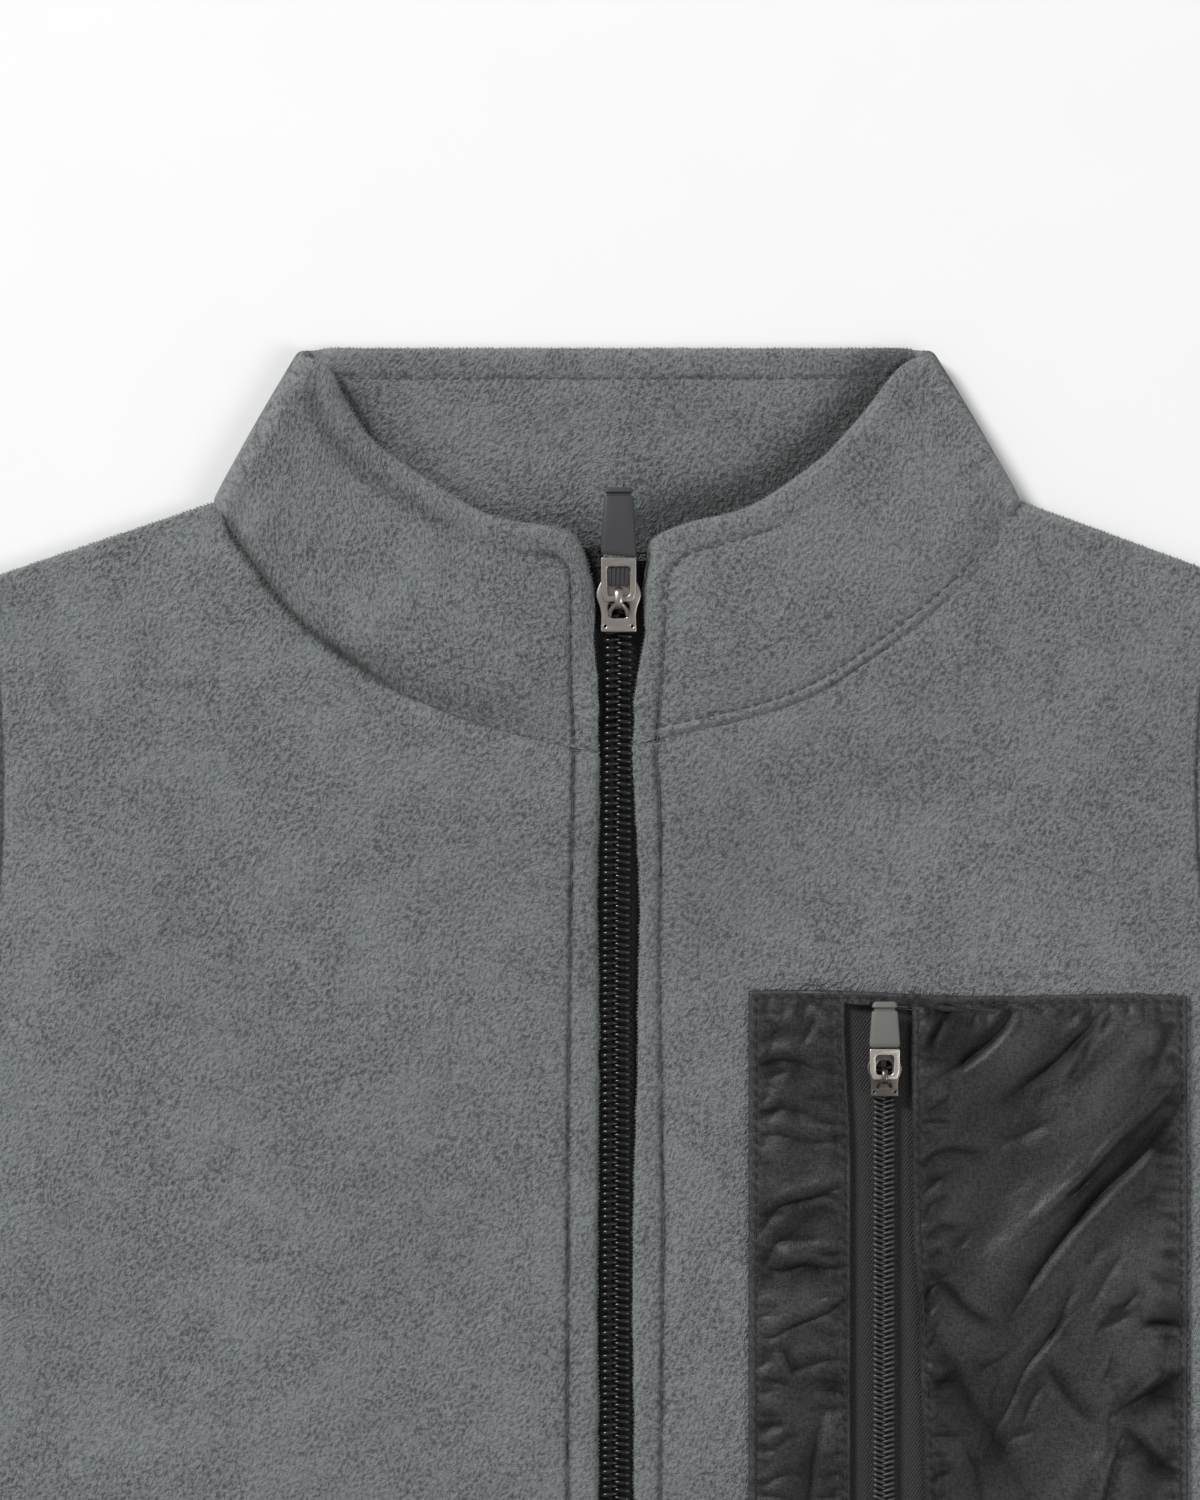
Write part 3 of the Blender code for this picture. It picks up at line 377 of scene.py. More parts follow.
cut = {
    "fleece": 0.0024, "collar": 0.0036, "gap": 0.0003,
    "hemY": -0.2365, "hemHalf": 0.178, "underarm": (0.180, 0.036),
    "collarTopY": 0.2365, "backNeckY": 0.1945, "backArmholeExtra": 0.004,
    "foldRadius": 0.0026, "neckRise": 0.0054, "neckReach": (0.022, 0.032), "zipLift": 0.0011,
    "loft": 0.0014, "loftEdge": 0.030, "chainX": 0.0006, "chainShift": 0.0005,
}
sides = {
    "right": {
        "sign": -1, "tip": (-0.1345, 0.1870), "narrow": (-0.1314, 0.1445), "topSag": 0.15, "crown": 0.0012,
        "neck": [(-0.0818, 0.2048), (-0.0756, 0.1949), (-0.0636, 0.1799), (-0.0474, 0.1678),
                 (-0.0312, 0.1604), (-0.0168, 0.1563), (-0.0032, 0.1532)],
        "top": [(-0.0645, 0.2353), (-0.0582, 0.2320), (-0.0543, 0.2248), (-0.0486, 0.2168),
                (-0.0371, 0.2086), (-0.0254, 0.2019), (-0.0123, 0.1994), (-0.0082, 0.1978),
                (-0.0059, 0.1943), (-0.0046, 0.1897)],
        "topStitch": [(-0.0090, 0.1885), (-0.0092, 0.1904), (-0.0102, 0.1922), (-0.0133, 0.1934),
                      (-0.0215, 0.1943), (-0.0277, 0.1963), (-0.0340, 0.1998), (-0.0404, 0.2035),
                      (-0.0463, 0.2078), (-0.0525, 0.2127), (-0.0580, 0.2191), (-0.0617, 0.2267)],
        # placket stitching: height, place
        "placket": [(-0.2365, -0.0092), (-0.10, -0.0089), (0.02, -0.0093), (0.09, -0.0091),
                    (0.13, -0.0085), (0.1555, -0.0080), (0.170, -0.0088), (0.1885, -0.0090)],
    },
    "left": {
        "sign": 1, "tip": (0.1300, 0.1880), "narrow": (0.1260, 0.1445), "topSag": 0.0, "crown": 0.0006,
        "neck": [(0.0832, 0.2051), (0.0757, 0.1918), (0.0629, 0.1799), (0.0531, 0.1727),
                 (0.0420, 0.1656), (0.0310, 0.1613), (0.0100, 0.1563), (0.0046, 0.1548)],
        "top": [(0.0655, 0.2353), (0.0588, 0.2324), (0.0519, 0.2238), (0.0467, 0.2178),
                (0.0414, 0.2127), (0.0283, 0.2039), (0.0152, 0.2002), (0.0088, 0.1975),
                (0.0068, 0.1943), (0.0074, 0.1898)],
        "topStitch": [(0.0112, 0.1880), (0.0114, 0.1898), (0.0122, 0.1912), (0.0140, 0.1929),
                      (0.0166, 0.1943), (0.0258, 0.1969), (0.0349, 0.2002), (0.0455, 0.2078),
                      (0.0515, 0.2137), (0.0568, 0.2201), (0.0625, 0.2281)],
        "placket": [(-0.2365, 0.0095), (-0.12, 0.0098), (0.0, 0.0097), (0.06, 0.0104), (0.11, 0.0094),
                    (0.138, 0.0098), (0.1538, 0.0088), (0.1667, 0.0099), (0.180, 0.0104), (0.189, 0.0118)],
    },
}
zipWindow = np.array([
    (-0.2365, -0.0031, 0.0042), (0.0000, -0.0031, 0.0043), (0.0410, -0.0033, 0.0041),
    (0.0820, -0.0030, 0.0049), (0.1230, -0.0034, 0.0055), (0.1440, -0.0030, 0.0046),
    (0.1600, -0.0026, 0.0043), (0.1780, -0.0031, 0.0060), (0.1900, -0.0046, 0.0074)])
zipGap = np.array([  # where the pile edges really lie beside the coil: height, right front, left front
    (-0.2365, -0.0030, 0.0042), (0.0206, -0.0031, 0.0043), (0.0411, -0.0033, 0.0039),
    (0.0616, -0.0031, 0.0041), (0.0821, -0.0029, 0.0049), (0.1026, -0.0029, 0.0051),
    (0.1231, -0.0033, 0.0055), (0.1436, -0.0029, 0.0045), (0.1539, -0.0025, 0.0037),
    (0.1641, -0.0021, 0.0035), (0.1689, -0.0022, 0.0043), (0.1723, -0.0027, 0.0051),
    (0.1777, -0.0030, 0.0061), (0.1805, -0.0031, 0.0061), (0.1859, -0.0033, 0.0058),
    (0.1900, -0.0046, 0.0067)])
softFolds = [  # x, y, degrees, half length, half width, height
    (-0.1080, 0.1150, 62, 0.030, 0.009, 0.0010), (-0.0980, 0.0700, 78, 0.035, 0.010, -0.0007),
    (-0.0600, 0.0200, 84, 0.050, 0.012, 0.0008), (-0.1250, -0.0500, 70, 0.060, 0.014, 0.0010),
    (-0.0500, -0.1300, 95, 0.060, 0.013, 0.0007), (0.0600, 0.1300, 160, 0.030, 0.010, 0.0006),
    (0.1450, -0.0300, 100, 0.050, 0.011, 0.0009), (0.0700, -0.1300, 82, 0.055, 0.014, 0.0008),
    (0.1200, -0.1600, 100, 0.045, 0.012, -0.0006),
]
neckPath = {side: curveThrough(sides[side]["neck"]) for side in sides}
topPath = {side: curveThrough(sides[side]["top"]) for side in sides}
foldInset = cut["collar"] / 2 + cut["foldRadius"]
seamY = sides["right"]["neck"][-1][1]


def backNeckPath():
    right, left = neckPath["right"][0], neckPath["left"][0]
    middle, half = (left[0] + right[0]) / 2, (left[0] - right[0]) / 2
    points = [right]
    for share in (-0.8, -0.5, -0.2, 0.2, 0.5, 0.8):
        end = right if share < 0 else left
        rise = (end[1] - cut["backNeckY"]) * abs(share) ** 2.5
        points.append((middle + share * half, cut["backNeckY"] + rise))
    return curveThrough([*points, left])


def backTopPath():
    right, left = topPath["right"][0], topPath["left"][0]
    y = cut["collarTopY"]
    level = [(x, y) for x in (right[0] + 0.006, -0.05, -0.02, 0.02, 0.05, left[0] - 0.006)]
    return curveThrough([right, *level, left])


backNeck, backTop = backNeckPath(), backTopPath()


def zipEdge(side, y):
    return np.interp(y, zipWindow[:, 0], zipWindow[:, 1 if side == "right" else 2])


def zipShift(side, x, y):  # moves the pile edge to the coil, and fades out away from it
    column = 1 if side == "right" else 2
    edge = zipEdge(side, y)
    wobble = 0.00016 * softNoise(y, y * 0, 0.0033, 1.0, 12 + column) + 0.00010 * softNoise(
        y, y * 0, 0.0013, 1.0, 16 + column)
    move = np.interp(y, zipGap[:, 0], zipGap[:, column]) - edge + wobble
    return x + move * (1 - smooth(abs(x - edge), 0.0, 0.0075)) * (1 - smooth(y, 0.1895, 0.1925))


def placketX(side, y):
    table = np.array(sides[side]["placket"])
    return np.interp(y, table[:, 0], table[:, 1])


def frontStitchPath(side):  # the placket's stitching, carried on round the collar's top corner
    part = sides[side]
    placket = [(x, y) for y, x in part["placket"] if 0.150 < y < 0.1875]
    return curveThrough([*placket, *part["topStitch"]], 8)


def armhole(side, turn, extra=0.0):  # turn 0 at the underarm, 1 at the narrowest place, 2 at the shoulder tip
    part = sides[side]
    narrowX, narrowY = part["narrow"][0] + part["sign"] * extra, part["narrow"][1]
    if turn <= 1:
        angle = turn * math.pi / 2
        reachX, reachY = part["sign"] * cut["underarm"][0] - narrowX, narrowY - cut["underarm"][1]
        return np.array([narrowX + reachX * (1 - math.sin(angle)), narrowY - reachY * math.cos(angle)])
    share = turn - 1
    return np.array([narrowX + (part["tip"][0] - narrowX) * share**2,
                     narrowY + (part["tip"][1] - narrowY) * share])


def sideSeam(side, share):
    half = cut["hemHalf"] + (cut["underarm"][0] - cut["hemHalf"]) * share
    return np.array([sides[side]["sign"] * half, cut["hemY"] + (cut["underarm"][1] - cut["hemY"]) * share])


def halfWidth(side, y):
    narrowX, narrowY = sides[side]["narrow"]
    low = cut["underarm"][1]
    share = np.clip((y - cut["hemY"]) / (low - cut["hemY"]), 0, 1)
    body = cut["hemHalf"] + (cut["underarm"][0] - cut["hemHalf"]) * share
    angle = np.arccos(np.clip((narrowY - y) / (narrowY - low), 0, 1))
    hole = abs(narrowX) + (cut["underarm"][0] - abs(narrowX)) * (1 - np.sin(angle))
    return np.where(y <= low, body, hole)


def seamUnderside(share):
    return 2 * cut["foldRadius"] + cut["neckRise"] * smooth(share, 0.0, 0.85)


def foldHeights(x, y):
    total = 0.0
    for atX, atY, degrees, halfLong, halfWide, height in softFolds:
        c, s = math.cos(math.radians(degrees)), math.sin(math.radians(degrees))
        total = total + height * bell((x - atX) * c + (y - atY) * s, halfLong) * bell(
            (y - atY) * c - (x - atX) * s, halfWide)
    return total


def toShoulder(side, x, y):
    part = sides[side]
    neckX, neckY = part["neck"][0]
    slope = (neckY - part["tip"][1]) / (abs(part["tip"][0]) - abs(neckX))
    return neckY - slope * np.maximum(abs(x) - abs(neckX), 0.0) - y


def frontUnderside(side, x, y, flush=False):  # height of a front's inner face, as in the solids
    base = cut["fleece"] + cut["gap"]
    edge = cut["loftEdge"]
    shoulder = toShoulder(side, x, y)
    inside = smooth(halfWidth(side, y) - abs(x), 0.0, edge) * smooth(y - cut["hemY"], 0.0, edge)
    inside = inside * smooth(shoulder, 0.0, edge)
    fromZip = abs(x - cut["chainX"])
    height = base + inside * (cut["loft"] * smooth(fromZip, 0.010, 0.060) + foldHeights(x, y))
    height = height + cut["zipLift"] * (1 - smooth(fromZip, 0.014, 0.028))
    seam = neckPath[side]
    away, where, _ = toPath(seam, x, y)
    share = np.maximum(where - foldInset, 0.0) / (walked(seam)[-1] - foldInset)
    rise = 1 - smooth(away, 0.0, cut["neckReach"][0] + cut["neckReach"][1] * share)
    rise = rise * (1.0 if flush else smooth(shoulder, 0.0, 0.016))
    return height + (seamUnderside(share) - height) * rise


def chainMiddle(y):
    return cut["chainX"] + cut["chainShift"] * smooth(y, 0.100, 0.174)


def zipUnderside(y):
    y = np.asarray(y, float)
    low = frontUnderside("right", np.full(y.shape, cut["chainX"]), np.minimum(y, seamY))
    return np.where(y >= seamY, seamUnderside(1.0), low)


# ---- fleece panels

seams = {
    "stitch": 0.0024,  # length of one stitch
    "edge": 0.0062,  # topstitching to the edge
    "trough": 0.00095, "troughHalf": 0.00042,
    "swell": 0.00024,  # padding between the stitching and the edge
    "round": 0.0016,  # how far in from an edge the wall rounds off
    "hemStitch": 0.018,
}
edgeSteps = np.array([0, .10, .26, .48, .76, 1.1, 1.5, 2.0, 2.6, 3.3, 4.0, 4.6, 5.1, 5.5, 5.85, 6.2, 6.55,
                      6.9, 7.4, 8.1, 9.0]) / 1000


def columnShares(length, middle):  # places across a panel, close together near both edges
    inner = np.linspace(edgeSteps[-1], length - edgeSteps[-1], middle + 2)[1:-1]
    return np.concatenate([edgeSteps, inner, length - edgeSteps[::-1]]) / length


def wallHalf(distance, thick):  # half the wall's thickness near a rounded edge
    inward = 1 - np.clip(distance / seams["round"], 0, 1)
    return thick / 2 * np.maximum(np.sqrt(1 - inward**2), 0.12)


def stitched(away, along, seed=0):  # a sewn line's trough: deeper at each needle hole, uneven along its run
    beat = 0.80 + 0.20 * np.cos(math.tau * along / seams["stitch"])
    uneven = 1 + 0.45 * softNoise(along, along * 0, 0.009, 1.0, 40 + seed)
    return -seams["trough"] * beat * uneven * (bell(away, seams["troughHalf"]) + 0.28 * bell(away, 0.0021))


def clothHeights(x, y, seed):  # the uneven lie of soft cloth
    lift = 0.00022 * softNoise(x + 0.35 * y, y, 0.011, 0.030, seed)
    lift = lift + 0.00010 * softNoise(x - 0.2 * y, y, 0.0048, 0.0085, seed + 1)
    return lift + 0.00035 * softNoise(x, y, 0.034, 0.050, seed + 2)


def seamHeight(side, away, share, run):  # how the cloth dips beside the neck seam, the same on both pieces
    uneven = 1 + 0.4 * softNoise(run, run * 0, 0.004, 1.0, 77)
    if side == "right":  # a deep narrow step near the shoulder, a soft trough nearer the zip
        steep = smooth(share, 0.03, 0.10) * (1 - smooth(share, 0.40, 0.62))
        soft = smooth(share, 0.38, 0.52) * (1 - 0.5 * smooth(share, 0.80, 0.95))
        return -0.00115 * steep * uneven * bell(away, 0.0011) - 0.00042 * soft * uneven * bell(away, 0.0017)
    dotted = uneven + 0.45 * np.cos(math.tau * run / seams["stitch"])
    seen = smooth(share, 0.20, 0.34) * (1 - smooth(share, 0.93, 0.985))
    return -0.00016 * dotted * bell(away, 0.0006) * seen - 0.00012 * bell(away, 0.0016) * seen


# painted shade along the neck seam: a dark band at the steep step near the shoulder, softer towards the zip,
# a faint line on the left
def seamPaintedShade(side, away, share, run):
    uneven = 1 + 0.5 * softNoise(run, run * 0, 0.0035, 1.0, 76)
    if side == "right":
        steep = smooth(share, 0.02, 0.08) * (1 - smooth(share, 0.42, 0.64))
        rest = 0.32 * (1 - 0.6 * smooth(share, 0.8, 0.95))
        return (rest + 1.2 * steep) * uneven * bell(away, 0.0005 + 0.0012 * steep)
    return 0.15 * uneven * bell(away, 0.0005) * smooth(share, 0.18, 0.34) * (1 - smooth(share, 0.90, 0.98))


def frontRows(side):
    low, high = cut["underarm"][1], sides[side]["neck"][-1][1]
    ends = []
    hem = cut["hemY"]
    near = np.array([0, .1, .26, .48, .76, 1.1, 1.6, 2.3, 3.2, 4.4, 6, 8, 10, 12, 14, 15.6, 16.6, 17.2, 17.6,
                     18, 18.4, 18.8, 19.4, 20.4, 22]) / 1000 + hem
    for y in [*near, *np.arange(hem + 0.0239, low - 0.0005, 0.0019)]:
        ends.append(((zipEdge(side, y), y), sideSeam(side, (y - hem) / (low - hem))))
    for share in np.arange(0, 1, 0.0132):
        y = low + (high - low) * share
        ends.append(((zipEdge(side, y), y), armhole(side, share)))
    path = neckPath[side]
    total = walked(path)[-1]
    distances = [*np.linspace(total, 0.0035, 66), 0.0027, 0.0020, 0.0014, 0.0009, 0.0005, 0.0002, 0.0]
    for distance in distances:
        ends.append((alongPath(path, distance), armhole(side, 2 - distance / total)))
    return ends


looseEdges = []  # edges where loose fibres stand out, with the open side on the right of the way they run
pocketArea = ((0.0277, 0.1176), (-0.0200, 0.1046))  # the pile lies flat under the pocket


def makeFront(side):
    rows = []
    for inner, outer in frontRows(side):
        inner, outer = np.array(inner, float), np.array(outer, float)
        length = np.linalg.norm(outer - inner)
        shares = columnShares(length, 78)
        rows.append(np.hstack([inner + (outer - inner) * shares[:, None],
                               (shares * length)[:, None], ((1 - shares) * length)[:, None]]))
    grid = np.array(rows)
    x, y, fromInner, fromOuter = (grid[..., k] for k in range(4))
    under = frontUnderside(side, x, y)
    shoulder = toShoulder(side, x, y) * 0.95
    onSeam = toPath(neckPath[side], x[:, 0], y[:, 0])[0] < 1e-5  # rows that start at the neck seam
    freeInner = np.where(onSeam[:, None], 1.0, fromInner)
    edge = np.minimum.reduce([freeInner, fromOuter, y - cut["hemY"], np.maximum(shoulder, 0)])
    half = wallHalf(edge, cut["fleece"])
    away = abs(x - placketX(side, y))
    lift = stitched(away, y, 1 if side == "left" else 2)
    fromZip = abs(x - zipEdge(side, y))
    lift += seams["swell"] * np.sin(math.pi * np.clip(fromZip / seams["edge"], 0, 1)) * (y < seamY + 0.002)
    lift += 0.00022 * bell(abs(x) - abs(placketX(side, y)) - 0.0036, 0.0022)  # padded band beside it
    lift += 0.00014 * softNoise(x * 0 + y, x, 0.0062, 0.012, 5) * bell(away, 0.006)  # puckers over it
    hemAway = abs(y - cut["hemY"] - seams["hemStitch"])
    lift += stitched(hemAway, x, 3)
    atArm = (y > cut["underarm"][1] - 0.004) & ~(shoulder < 0.006)
    armAway = np.where(atArm, abs(fromOuter - seams["edge"]), 1.0)
    lift += stitched(armAway, y, 4)
    seamAway, seamRun, _ = toPath(neckPath[side], x, y)
    fade = smooth(edge, 0.0, 0.004)
    covered = 0.0
    if side == "left":
        inX = np.minimum(x - pocketArea[0][0], pocketArea[0][1] - x)
        covered = smooth(np.minimum(inX, np.minimum(y - pocketArea[1][0], pocketArea[1][1] - y)), -0.004, 0.0)
    lift += clothHeights(x, y, 60 if side == "left" else 70) * fade * (1 - covered)
    seamShare = seamRun / walked(neckPath[side])[-1]
    lift += seamHeight(side, seamAway, seamShare, seamRun)
    if side == "left":  # at the shoulder's neck point its outer face comes up to the collar
        lift += (frontUnderside(side, x, y, flush=True) - under) * smooth(edge, 0.0, 0.003)
    # darker pile pressed at the stitching, plus painted shade along the neck seam
    press = np.clip((1 + 0.5 * softNoise(y, x, 0.003, 1.0, 8)) * bell(away, 0.0006) + bell(armAway, 0.0005)
                    + bell(hemAway, 0.0005) + seamPaintedShade(side, seamAway * 1.6, seamShare, seamRun), 0, 1)
    drop = 0.00028 * (bell(fromOuter, 0.004) * (y < cut["underarm"][1]) + bell(shoulder, 0.004))
    middle = np.stack([zipShift(side, x, y), y, under + cut["fleece"] / 2 - drop], -1)
    below = y[:, 0] < seamY
    turn = 1 if side == "right" else -1
    looseEdges.extend([middle[below, 0][::turn], middle[:, -1][::-turn],
                       middle[0][::-turn], middle[-1][::turn]])
    made = shell("fleeceFront" + side.capitalize(), middle, half, fleece, lift,
                 flip=side == "right", press=press)
    place(made, "garment", "fleece", "front_" + side)
    print("front", side, len(made.data.polygons))
    return made


def makeBack():
    low, hem, extra = cut["underarm"][1], cut["hemY"], cut["backArmholeExtra"]
    near = np.array([0, .1, .26, .48, .76, 1.1, 1.6, 2.3, 3.2, 4.4, 6, 8, 10, 13, 16, 17.4, 18, 18.6, 20, 22])
    heights = [*(near / 1000 + hem), *np.arange(hem + 0.025, low - 0.001, 0.0034)]
    ends = [[sideSeam(side, (y - hem) / (low - hem)) for side in sides] for y in heights]
    ends += [[armhole(side, share, extra) for side in sides] for share in np.arange(0, 0.999, 0.03)]
    across = np.array([right + (left - right) * columnShares(np.linalg.norm(left - right), 90)[:, None]
                       for right, left in ends])
    # above that the rows bend up, from the last straight one to the neck seam and the shoulders
    bottom = across[-1]
    tips = [armhole(side, 2, extra) for side in sides]
    neck = alongPath(backNeck, np.linspace(0, walked(backNeck)[-1], 400))
    outline = np.vstack([tips[0], neck, tips[1]])
    shares = walked(bottom)
    top = alongPath(outline, shares / shares[-1] * walked(outline)[-1])
    upper = []
    for share in [*np.linspace(0, 0.93, 20)[1:], 0.955, 0.972, 0.983, 0.990, 0.9945, 0.9975, 0.999, 1.0]:
        row = bottom + (top - bottom) * share
        for k, side in ((0, "right"), (len(bottom) - 1, "left")):
            shift = armhole(side, 1 + share, extra) - row[k]
            weight = np.clip(1 - abs(np.arange(len(bottom)) - k) / 30, 0, 1) ** 2
            row = row + shift * weight[:, None]
        upper.append(row)
    grid = np.vstack([across, np.array(upper)])
    x, y = grid[..., 0], grid[..., 1]
    edge = np.minimum.reduce([
        np.minimum(np.linalg.norm(grid - grid[:, :1], axis=2), np.linalg.norm(grid - grid[:, -1:], axis=2)),
        y - hem, *[toPath(np.array([tip, end]), x, y)[0] for tip, end in zip(tips, (neck[0], neck[-1]))]])
    half = wallHalf(edge, cut["fleece"])
    lift = stitched(abs(y - hem - seams["hemStitch"]), x, 8)
    lift = lift - 0.0002 * smooth(edge, 0.0, 0.004) * (1 + softNoise(x, y, 0.012, 0.02, 90))
    middle = np.stack([x, y, np.full(x.shape, cut["fleece"] / 2)], -1)
    made = shell("fleeceBack", middle, half, fleece, lift)
    place(made, "garment", "fleece", "back")
    print("back", len(made.data.polygons))


collarLook = {
    "aroundFront": 84, "aroundBack": 120, "aroundFold": 14,
    "roll": 0.0019,  # how far the right front of the collar rolls over the neck seam
    "ridge": 0.00040, "secondStitch": 0.0024,
    "belly": 0.0006, "bellyReach": 0.022,  # the folds belly out above the neck, and how far round
    "rim": 0.00045, "rimTrough": 0.0011,  # beside the right front's top edge
    "join": 0.0044,  # the inside of the back comes up to the fronts at the folds
}


def collarRulings():
    level = cut["collar"] / 2 + 2 * cut["foldRadius"]

    def front(side):
        low, high = neckPath[side], topPath[side]
        lowLong, highLong = walked(low)[-1] - foldInset, walked(high)[-1] - foldInset
        rows = []
        near = 1 - edgeSteps / lowLong  # close together at the zip
        far = np.linspace(0, near[-1], collarLook["aroundFront"])[:-1]
        for share in [*far, *near[::-1]]:
            rise = [cut["neckRise"] * smooth(share, start, stop)
                    for start, stop in ((0.0, 0.85), (sides[side]["topSag"], 0.9))]
            crown = sides[side]["crown"] * smooth(share, 0, 0.3) * (1 - smooth(share, 0.75, 0.95))
            ends = alongPath(low, foldInset + share * lowLong), alongPath(high, foldInset + share * highLong)
            rows.append((*ends, level + rise[0], level + rise[1], crown, side, share))
        return rows

    def fold(side):
        start = 0.0 if side == "right" else 1.0
        rows = []
        steps = collarLook["aroundFold"]
        for k in range(1, steps):
            angle = math.pi * (k / steps - 0.5)
            distance = cut["collar"] / 2 + cut["foldRadius"] * (1 - math.cos(angle))
            if angle > 0:
                ends = alongPath(neckPath[side], distance), alongPath(topPath[side], distance)
            else:
                ends = [alongPath(path, abs(start * walked(path)[-1] - distance))
                        for path in (backNeck, backTop)]
            z = cut["collar"] / 2 + cut["foldRadius"] * (1 + math.sin(angle))
            rows.append((*ends, z, z, 0.0, side, -1.0))
        return rows

    back = []
    for share in np.linspace(0, 1, collarLook["aroundBack"]):
        ends = [alongPath(path, foldInset + share * (walked(path)[-1] - 2 * foldInset))
                for path in (backNeck, backTop)]
        back.append((*ends, cut["collar"] / 2, cut["collar"] / 2, 0.0, "back", share))
    return [*front("right")[::-1], *fold("right")[::-1], *back, *fold("left"), *front("left")]


def makeCollar():
    rows, where, upright = [], [], []
    for low, high, lowZ, highZ, crown, side, share in collarRulings():
        length = np.linalg.norm(np.array(high) - low)
        bottomSteps = np.array([0, .12, .3, .55, .85, 1.2, 1.6, 1.95, 2.25, 2.55, 2.9, 3.4, 4.1, 5.0]) / 1000
        inner = np.linspace(bottomSteps[-1], length - edgeSteps[-1], 22)[1:-1]
        shares = np.concatenate([bottomSteps, inner, length - edgeSteps[::-1]]) / length
        flat = np.array(low) + (np.array(high) - low) * shares[:, None]
        z = lowZ + (highZ - lowZ) * shares + crown * np.sin(math.pi * shares)
        rows.append(np.hstack([flat, z[:, None]]))
        upright.append(shares * length)
        where.append((side, share))
    grid, up = np.array(rows), np.array(upright)
    for sign in (-1, 1):
        outermost = np.argmax(sign * grid[:, 0, 0])
        fromFold = np.linalg.norm(grid[:, 0, :2] - grid[outermost, 0, :2], axis=1)[:, None]
        shape = np.sin(math.pi * (up / up[:, -1:]) ** 0.62)
        nearFold = 1 - smooth(fromFold, 0.0, collarLook["bellyReach"])
        grid[..., 0] += sign * collarLook["belly"] * shape * nearFold
    x, y = grid[..., 0], grid[..., 1]
    height = up[:, -1:] - up
    around = np.repeat(walked(grid[:, grid.shape[1] // 2])[:, None], up.shape[1], 1)
    zone = np.array([{"right": -1, "back": 0, "left": 1}[side] for side, _ in where])[:, None]
    share = np.array([s for _, s in where])[:, None]
    frontPart = share >= 0
    toTop, fromZip = height.copy(), np.full(x.shape, 1.0)
    away = abs(toTop - seams["edge"])
    seamRun = np.zeros(x.shape)
    step = np.zeros(x.shape)  # from the collar's outer face down to the front's, at the seam
    rowsOf = {}
    for side, part in sides.items():
        mine = rowsOf[side] = np.nonzero((zone[:, 0] == part["sign"]) & (share[:, 0] >= 0))[0]
        xs, ys = x[mine], y[mine]
        toTop[mine] = toPath(topPath[side], xs, ys)[0]
        fromZip[mine] = abs(xs - zipEdge(side, ys))
        onCorner = toPath(frontStitchPath(side), xs, ys)[0]
        away[mine] = np.where(ys < 0.154, abs(xs - placketX(side, ys)), onCorner)
        seamRun[mine] = foldInset + share[mine] * (walked(neckPath[side])[-1] - foldInset)
        front = frontUnderside(side, xs[:, :1], ys[:, :1], side == "left") + cut["fleece"]
        drop = grid[mine, :1, 2] + cut["collar"] / 2 - front
        step[mine] = np.minimum(drop, cut["collar"] - 0.0003)
    edge = np.minimum.reduce([toTop, fromZip, np.where(frontPart, 1.0, up)])
    half = wallHalf(edge * 0.72, cut["collar"])
    frontal = (zone != 0) & frontPart
    uneven = 1 + 0.6 * softNoise(around, up, 0.0045, 0.004, 14)
    strength = np.where(zone == 0, 0.42 * uneven, 1.0)
    strength = np.where((zone == -1) & (up > 0.008), 0.85 - 0.72 * smooth(fromZip, 0.007, 0.018), strength)
    leftStrength = 0.75 - 0.30 * smooth(y, 0.1905, 0.1935) - 0.35 * smooth(fromZip, 0.020, 0.036)
    strength = np.where((zone == 1) & (up > 0.008), leftStrength, strength)
    line = stitched(away, around + up, 11) * strength
    swell = seams["swell"] * np.sin(math.pi * np.clip(np.minimum(toTop, fromZip) / seams["edge"], 0, 1))
    waves = clothHeights(around, up, 21) * smooth(edge, 0, 0.004)
    waves += 0.00012 * softNoise(around, up, 0.0055, 0.012, 25) * bell(away, 0.006)
    # the left front has a second line of stitches above the neck seam, with a puckered ridge between
    second = abs(up - collarLook["secondStitch"])
    onLeft, onRight = (zone == 1) & frontPart, (zone == -1) & frontPart
    seamShare = seamRun / np.where(zone == 1, walked(neckPath["left"])[-1], walked(neckPath["right"])[-1])
    seen = smooth(seamShare, 0.16, 0.34) * (1 - smooth(seamShare, 0.93, 0.985))
    puff = 1 + 0.5 * np.cos(math.tau * (seamRun / seams["stitch"] + 0.5)) + 0.5 * softNoise(
        seamRun, up, 0.0035, 0.0030, 78)
    low = np.where(onLeft, stitched(second, seamRun, 13) * 0.24 * seen
                   + collarLook["ridge"] * puff * seen * bell(up - 0.0012, 0.0008)
                   + seamHeight("left", up, seamShare, seamRun) - step * (1 - smooth(up, -0.001, 0.010)), 0)
    # on the right front it rolls over the seam, steeply near the shoulder and softly nearer the zip
    steep = smooth(share, 0.03, 0.10) * (1 - smooth(share, 0.40, 0.58))
    reach = 0.0014 + 0.0075 * smooth(share, 0.34, 0.58)
    rolled = collarLook["roll"] * steep * smooth(up, 0.0, 0.0014) * (1 - smooth(up, 0.003, 0.017))
    rolled = rolled + (collarLook["roll"] * 0.62 * smooth(share, 0.34, 0.50) * (1 - smooth(share, 0.72, 0.92))
                       * (smooth(up, 0.0, 0.0095) * (1 - smooth(up, 0.0095, 0.026))))
    rolled = rolled + seamHeight("right", up, seamShare, seamRun) - step * (1 - smooth(up, -0.0005, reach))
    low = np.where(onRight, rolled, low)
